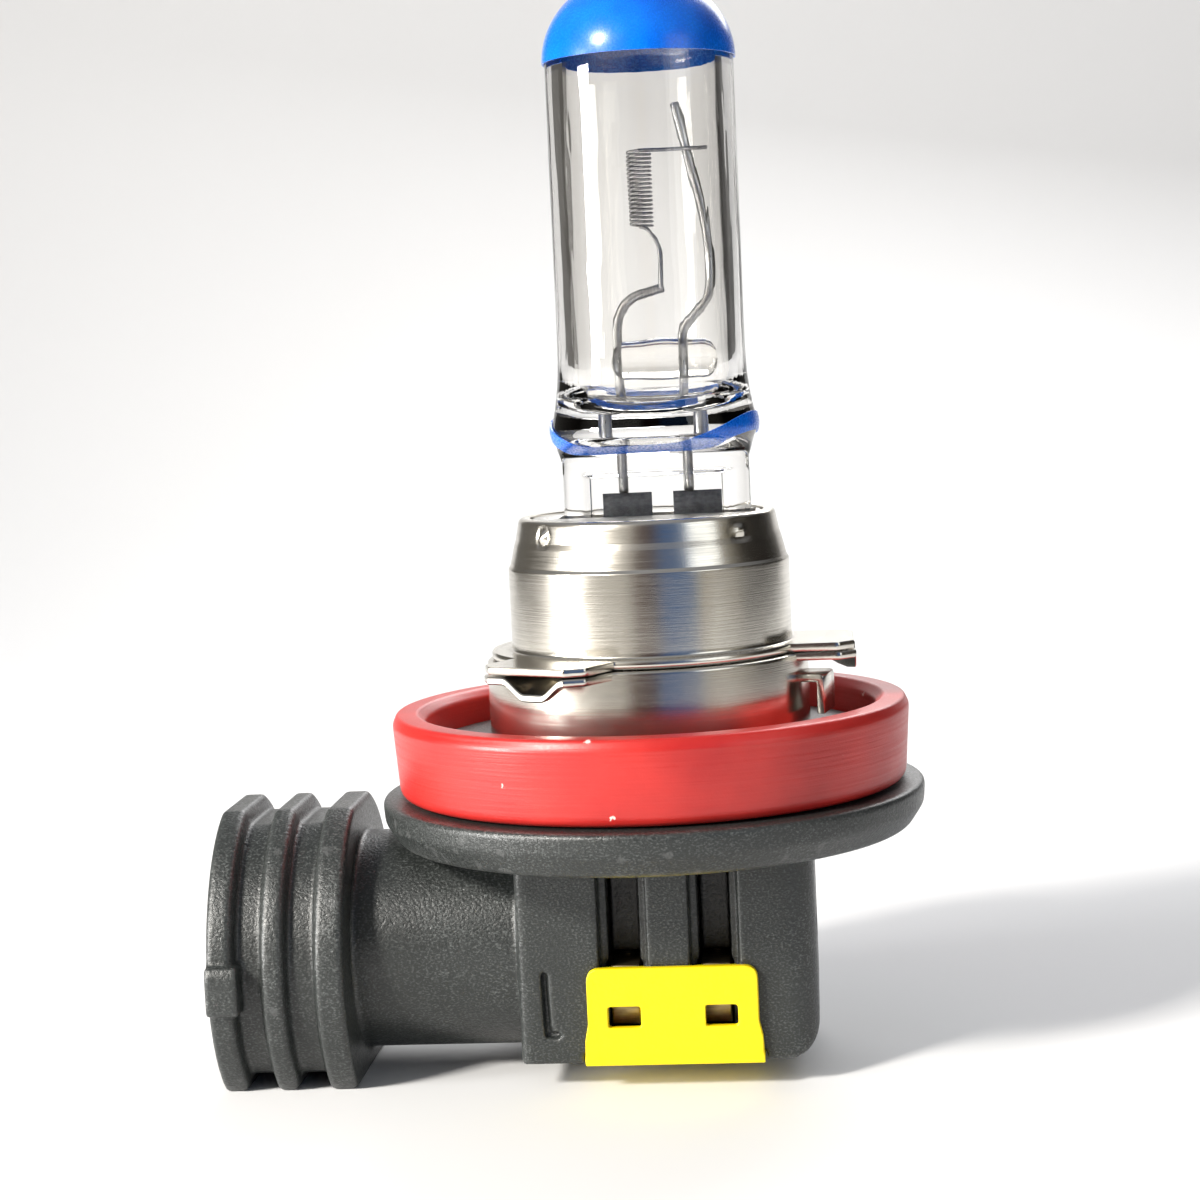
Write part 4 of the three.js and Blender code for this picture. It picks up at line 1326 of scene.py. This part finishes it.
    def neck_film(self) -> bpy.types.Object:
        """Blue skin under the bulge: a thin line in front that climbs towards both sides."""
        rows = 10
        skins: list[list[Ring]] = []
        for grow in (self.film_gap, self.film_gap + self.coat):
            rings: list[Ring] = []
            for j in range(rows + 1):
                ring: Ring = []
                for k, a in enumerate(angles_round(self.sides)):
                    side = abs(math.cos(a - math.radians(self.neck_coat_turn))) ** 3.0
                    foot = self.cap_top + self.neck_coat_foot + self.neck_coat_rise * 0.8 * side
                    height = foot + j / rows * (self.neck_coat_height + self.neck_coat_rise * 0.45 * side)
                    ring.append(self.section(self.radius_at(height), height, grow)[k])
                rings.append(ring)
            skins.append(rings)
        piece = shade(loft("neck_coating", [*reversed(skins[0]), *skins[1]], wrap=True), 60.0)
        return finish_piece(piece, self.palette.film, "blue_film", "neck_coating")

    def wires(self) -> list[bpy.types.Object]:
        """Both support wires."""
        made = []
        low, high = node_box("long_lead_wire")
        x, bead_top = low.x + self.lead_radius, node_box("glass_bridge")[1].z
        bow = high.x - self.lead_radius
        path = smooth_path([(x, 0, low.z), (x, 0, low.z + 3), (x, 0, bead_top - 1),
                            (x + 0.05, 0, bead_top + 0.4), (x + 0.6, 0, bead_top + 1.2),
                            (bow - 0.3, 0, bead_top + 2.2), (bow, 0, bead_top + 3.2),
                            (bow, 0, bead_top + 5.0), (bow - 0.35, 0, high.z - 6.0),
                            (x + 0.75, 0, high.z - 3.2), (x + 0.1, 0, high.z)], 9)
        made.append(self.wire("long_lead_wire", path))
        low, high = node_box("short_lead_wire")
        x = low.x + self.lead_radius
        path = smooth_path([(x, 0, low.z), (x, 0, low.z + 3), (x, 0, bead_top - 1),
                            (x + 0.02, 0, bead_top + 0.6), (x + 0.3, 0, bead_top + 1.7),
                            (x + 1.1, 0, bead_top + 2.5),
                            (high.x - 0.25, 0, high.z - self.lead_radius - 0.1)], 9)
        made.append(self.wire("short_lead_wire", path))
        return made

    def wire(self, name: str, path: list[Vector]) -> bpy.types.Object:
        """One dressed support wire."""
        piece = shade(tube(name, path, self.lead_radius, 20), 60.0)
        return finish_piece(piece, self.palette.molybdenum, "molybdenum", name)

    def bead(self) -> bpy.types.Object:
        """Clear glass bead that ties the wires together."""
        low, high = node_box("glass_bridge")
        half, tall = (high.y - low.y) / 2, (high.z - low.z) / 2
        middle, length = (low.z + high.z) / 2, high.x - low.x
        rings: list[Ring] = [[(low.x, 0.0, middle)]]
        for k in range(1, 40):
            t = k / 40
            end = min(t, 1 - t) * length
            size = math.sqrt(max(0.0, 1 - (1 - min(1.0, end / 0.9)) ** 2))
            size *= 1 - 0.05 * math.sin(3 * math.pi * t)
            rings.append([(low.x + t * length, half * size * math.cos(a), middle + tall * size * math.sin(a))
                          for a in angles_round(48)])
        rings.append([(high.x, 0.0, middle)])
        piece = shade(loft("glass_bridge", rings), 70.0)
        return finish_piece(piece, self.palette.glass, "clear_glass", "glass_bridge")

    def coil(self) -> bpy.types.Object:
        """Filament: coil, upper bar and lower tail, each a swept wire in one mesh."""
        low, high = node_box("filament")
        x, length, bar_y = self.filament_x, self.filament_length, self.tail_y
        top = high.z - 0.15
        foot = top - length
        turns = self.filament_turns
        helix = []
        steps = turns * 20
        for k in range(steps + 1):
            a = 2 * math.pi * turns * k / steps - math.pi / 2
            helix.append(Vector((x + self.filament_radius * math.cos(a), self.filament_radius * math.sin(a),
                                 foot + length * k / steps)))
        upper = smooth_path([tuple(helix[-1]), (x + 0.5, bar_y - 0.1, top + 0.02), (x + 1.4, bar_y, top),
                             (high.x - 0.1, bar_y, top)], 6)
        tail_x = node_box("short_lead_wire")[1].x - 0.3
        lower = smooth_path([tuple(helix[0]), (x + 0.5, bar_y - 0.15, foot - 0.35),
                             (tail_x, bar_y, foot - 1.4), (tail_x, bar_y, low.z + 0.1)], 8)
        piece = join_meshes([tube("filament", helix, self.filament_wire, 8),
                             tube("bar", upper, self.tail_radius, 10),
                             tube("tail", lower, self.tail_radius, 10)])
        shade(piece, 60.0)
        return finish_piece(piece, self.palette.tungsten, "tungsten", "filament")

    def foil(self, name: str) -> bpy.types.Object:
        """One foil, faintly rippled, with a weld patch for its wire."""
        low, high = node_box(name)
        columns, rows = 24, 36
        thick = (high.y - low.y) / 2
        points = []
        for side in (-1, 1):
            for j in range(rows + 1):
                for i in range(columns + 1):
                    u, v = i / columns, j / rows
                    ripple = 0.02 * math.sin(9 * v * math.pi) * math.sin(math.pi * u)
                    feather = thick * (0.25 + 0.75 * math.sin(math.pi * u) ** 0.5)
                    points.append((low.x + u * (high.x - low.x), side * feather * 0.6 + ripple,
                                   low.z + v * (high.z - low.z)))
        per_side = (rows + 1) * (columns + 1)
        faces = []
        for j in range(rows):
            for i in range(columns):
                a = j * (columns + 1) + i
                b, c, d = a + 1, a + columns + 2, a + columns + 1
                faces += [[a, b, c, d], [per_side + d, per_side + c, per_side + b, per_side + a]]
        border = list(range(columns + 1))
        border += [(j + 1) * (columns + 1) - 1 for j in range(1, rows + 1)]
        border += [rows * (columns + 1) + i for i in range(columns - 1, -1, -1)]
        border += [j * (columns + 1) for j in range(rows - 1, 0, -1)]
        for here, there in zip(border, border[1:] + border[:1]):
            faces.append([here, there, per_side + there, per_side + here])
        piece = shade(mesh_object(name, points, faces), 50.0)
        return finish_piece(piece, self.palette.foil, "molybdenum_foil", name)

    def pin(self, side: str) -> bpy.types.Object:
        """Wire from a foil down through the base to its terminal."""
        name = f"outer_pin_{side}"
        low, high = node_box(name)
        foil_low, foil_high = node_box(f"foil_{side}")
        top_x, foot_x = (foil_low.x + foil_high.x) / 2, node_box(f"terminal_{side}")[1].x - 0.85
        foot_y = low.y + 0.4
        path = smooth_path([(top_x, 0, high.z), (top_x, 0, high.z - 2.6),
                            ((top_x + foot_x) / 2, foot_y / 2, 20.0), (foot_x, foot_y, 15.4),
                            (foot_x, foot_y, 12.5), (foot_x, foot_y, low.z)], 8)
        piece = shade(tube(name, path, self.pin_radius, 16), 60.0)
        return finish_piece(piece, self.palette.nickel, "nickel_wire", name)

    def build(self) -> list[bpy.types.Object]:
        """Make and dress every piece of the burner."""
        made = [self.envelope(), self.film("tip_coating", self.tip_coat_rise, 99.0),
                self.neck_film(), *self.wires(), self.bead(), self.coil()]
        for side in ("left", "right"):
            made += [self.foil(f"foil_{side}"), self.pin(side)]
        return made


# ---------------------------------------------------------------- studio
@dataclass
class Studio:
    """Pale floor, soft lamps and the camera."""

    distance: float = 147.5
    height: float = 40.1
    azimuth: float = 4.0
    pitch: float = 5.46
    yaw: float = -1.04
    roll: float = -2.65
    lens: float = 75.0
    bands: tuple[tuple[float, Point3], ...] = (
        (-180.0, (0.45, 0.44, 0.42)), (-118.0, (0.30, 0.28, 0.25)), (-92.0, (0.16, 0.14, 0.12)),
        (-72.0, (1.30, 1.25, 1.14)), (-16.0, (1.40, 1.36, 1.26)), (-6.0, (0.18, 0.09, 0.07)),
        (8.0, (0.13, 0.07, 0.06)), (15.0, (0.14, 0.32, 0.78)), (38.0, (0.20, 0.38, 0.78)),
        (47.0, (0.90, 0.80, 0.60)), (76.0, (0.66, 0.60, 0.48)), (90.0, (0.06, 0.05, 0.04)),
        (128.0, (0.05, 0.045, 0.04)), (150.0, (0.40, 0.39, 0.38)), (180.0, (0.45, 0.44, 0.42)),
    )
    ceiling: tuple[float, ...] = rgb(0.90, 0.93, 1.0)
    room_strength: float = 0.33

    def floor(self) -> None:
        """Seamless pale sweep under and behind the bulb."""
        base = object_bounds()[0].z / MM
        profile = rounded([(-150.0, base), (420.0, base, 220.0), (420.0, base + 420.0)], 24, closed=False)
        points = [(x, y, z) for y, z in profile for x in (-240.0, 240.0)]
        faces = [[2 * i, 2 * i + 1, 2 * i + 3, 2 * i + 2] for i in range(len(profile) - 1)]
        sweep = mesh_object("floor", points, faces)
        sweep.data.shade_smooth()
        bench = Bench("studio_paper")
        bench.set(Base_Color=rgb(0.78, 0.78, 0.78), Roughness=0.9)
        sweep.data.materials.append(bench.material)
        sweep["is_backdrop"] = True

    def lamp(self, name: str, place: Point3, size: float, power: float,
             colour: Point3 = (1.0, 1.0, 1.0)) -> None:
        """One soft square lamp aimed at the bulb."""
        light = bpy.data.lights.new(name, "AREA")
        light.shape = "RECTANGLE"
        light.size = light.size_y = size * MM
        light.energy = power
        light.color = colour
        lamp = bpy.data.objects.new(name, light)
        lamp.location = Vector(place) * MM
        aim = Vector((0.0, 0.0, 25.0)) * MM - lamp.location
        lamp.rotation_mode = "QUATERNION"
        lamp.rotation_quaternion = aim.to_track_quat("-Z", "Y")
        bpy.context.scene.collection.objects.link(lamp)

    def lights(self) -> None:
        """Key from the upper left, a low side lamp, a weak fill, a back lamp and the room."""
        self.lamp("key", (-250.0, -250.0, 215.0), 60.0, 2.4, (1.0, 0.96, 0.90))
        self.lamp("fill", (260.0, -200.0, 120.0), 160.0, 0.12, (0.90, 0.95, 1.0))
        self.lamp("side", (-300.0, -130.0, 60.0), 70.0, 1.1, (1.0, 0.99, 0.97))
        self.lamp("back", (60.0, 260.0, 240.0), 220.0, 0.8)
        self.room()

    def room(self) -> None:
        """Room round the table: pale above, with soft darker and cooler patches for metal to mirror."""
        world = bpy.data.worlds.new("room")
        world.use_nodes = True
        nodes = Nodes(world.node_tree)
        parts = nodes.add("SeparateXYZ", {0: nodes.add("TexCoord").outputs["Generated"]}).outputs
        turn = nodes.maths("ARCTAN2", parts["X"], nodes.maths("MULTIPLY", parts["Y"], -1.0))
        walls = nodes.add("ValToRGB", {0: nodes.ramp(turn, -math.pi, math.pi)})
        bands = walls.color_ramp.elements
        for number, (degrees, tone) in enumerate(self.bands):
            band = bands[number] if number < 2 else bands.new(1.0)
            band.position, band.color = (degrees + 180.0) / 360.0, rgb(*tone)
        whole = nodes.mix(nodes.ramp(parts["Z"], 0.35, 0.75), walls.outputs[0], self.ceiling)
        sky = world.node_tree.nodes["Background"]
        nodes.link(whole, sky.inputs["Color"])
        sky.inputs["Strength"].default_value = self.room_strength
        bpy.context.scene.world = world

    def camera(self) -> None:
        """Camera near the front of the bulb, a little above its middle."""
        pitch, yaw, roll = (math.radians(v) for v in (self.pitch, self.yaw, self.roll))
        look = Vector((math.sin(yaw) * math.cos(pitch), math.cos(yaw) * math.cos(pitch), -math.sin(pitch)))
        right = look.cross(Vector((0.0, 0.0, 1.0))).normalized()
        up = right.cross(look)
        rolled_right = right * math.cos(roll) + up * math.sin(roll)
        rolled_up = up * math.cos(roll) - right * math.sin(roll)
        axes = Matrix((rolled_right, rolled_up, -look)).transposed().to_4x4()
        turn = Matrix.Rotation(math.radians(self.azimuth), 4, "Z")
        data = bpy.data.cameras.new("camera")
        data.lens = self.lens
        data.sensor_width = 36.0
        data.clip_start = 0.01
        camera = bpy.data.objects.new("camera", data)
        stand = Matrix.Translation(Vector((0.0, -self.distance, self.height)) * MM)
        camera.matrix_world = turn @ stand @ axes
        bpy.context.scene.collection.objects.link(camera)
        bpy.context.scene.camera = camera

    def build(self) -> None:
        """Set the whole studio up."""
        bpy.context.scene.view_settings.view_transform = "Standard"
        self.camera()
        self.floor()
        self.lights()


def main() -> None:
    """Build the bulb piece by piece, then its studio."""
    logging.basicConfig(level=logging.INFO, format="%(name)s %(message)s")
    palette = Palette()
    for part in (Base, Cover, Terminals, Seal, Metalwork, Burner):
        part(palette).build()
    Studio().build()


if __name__ == "__main__":
    main()
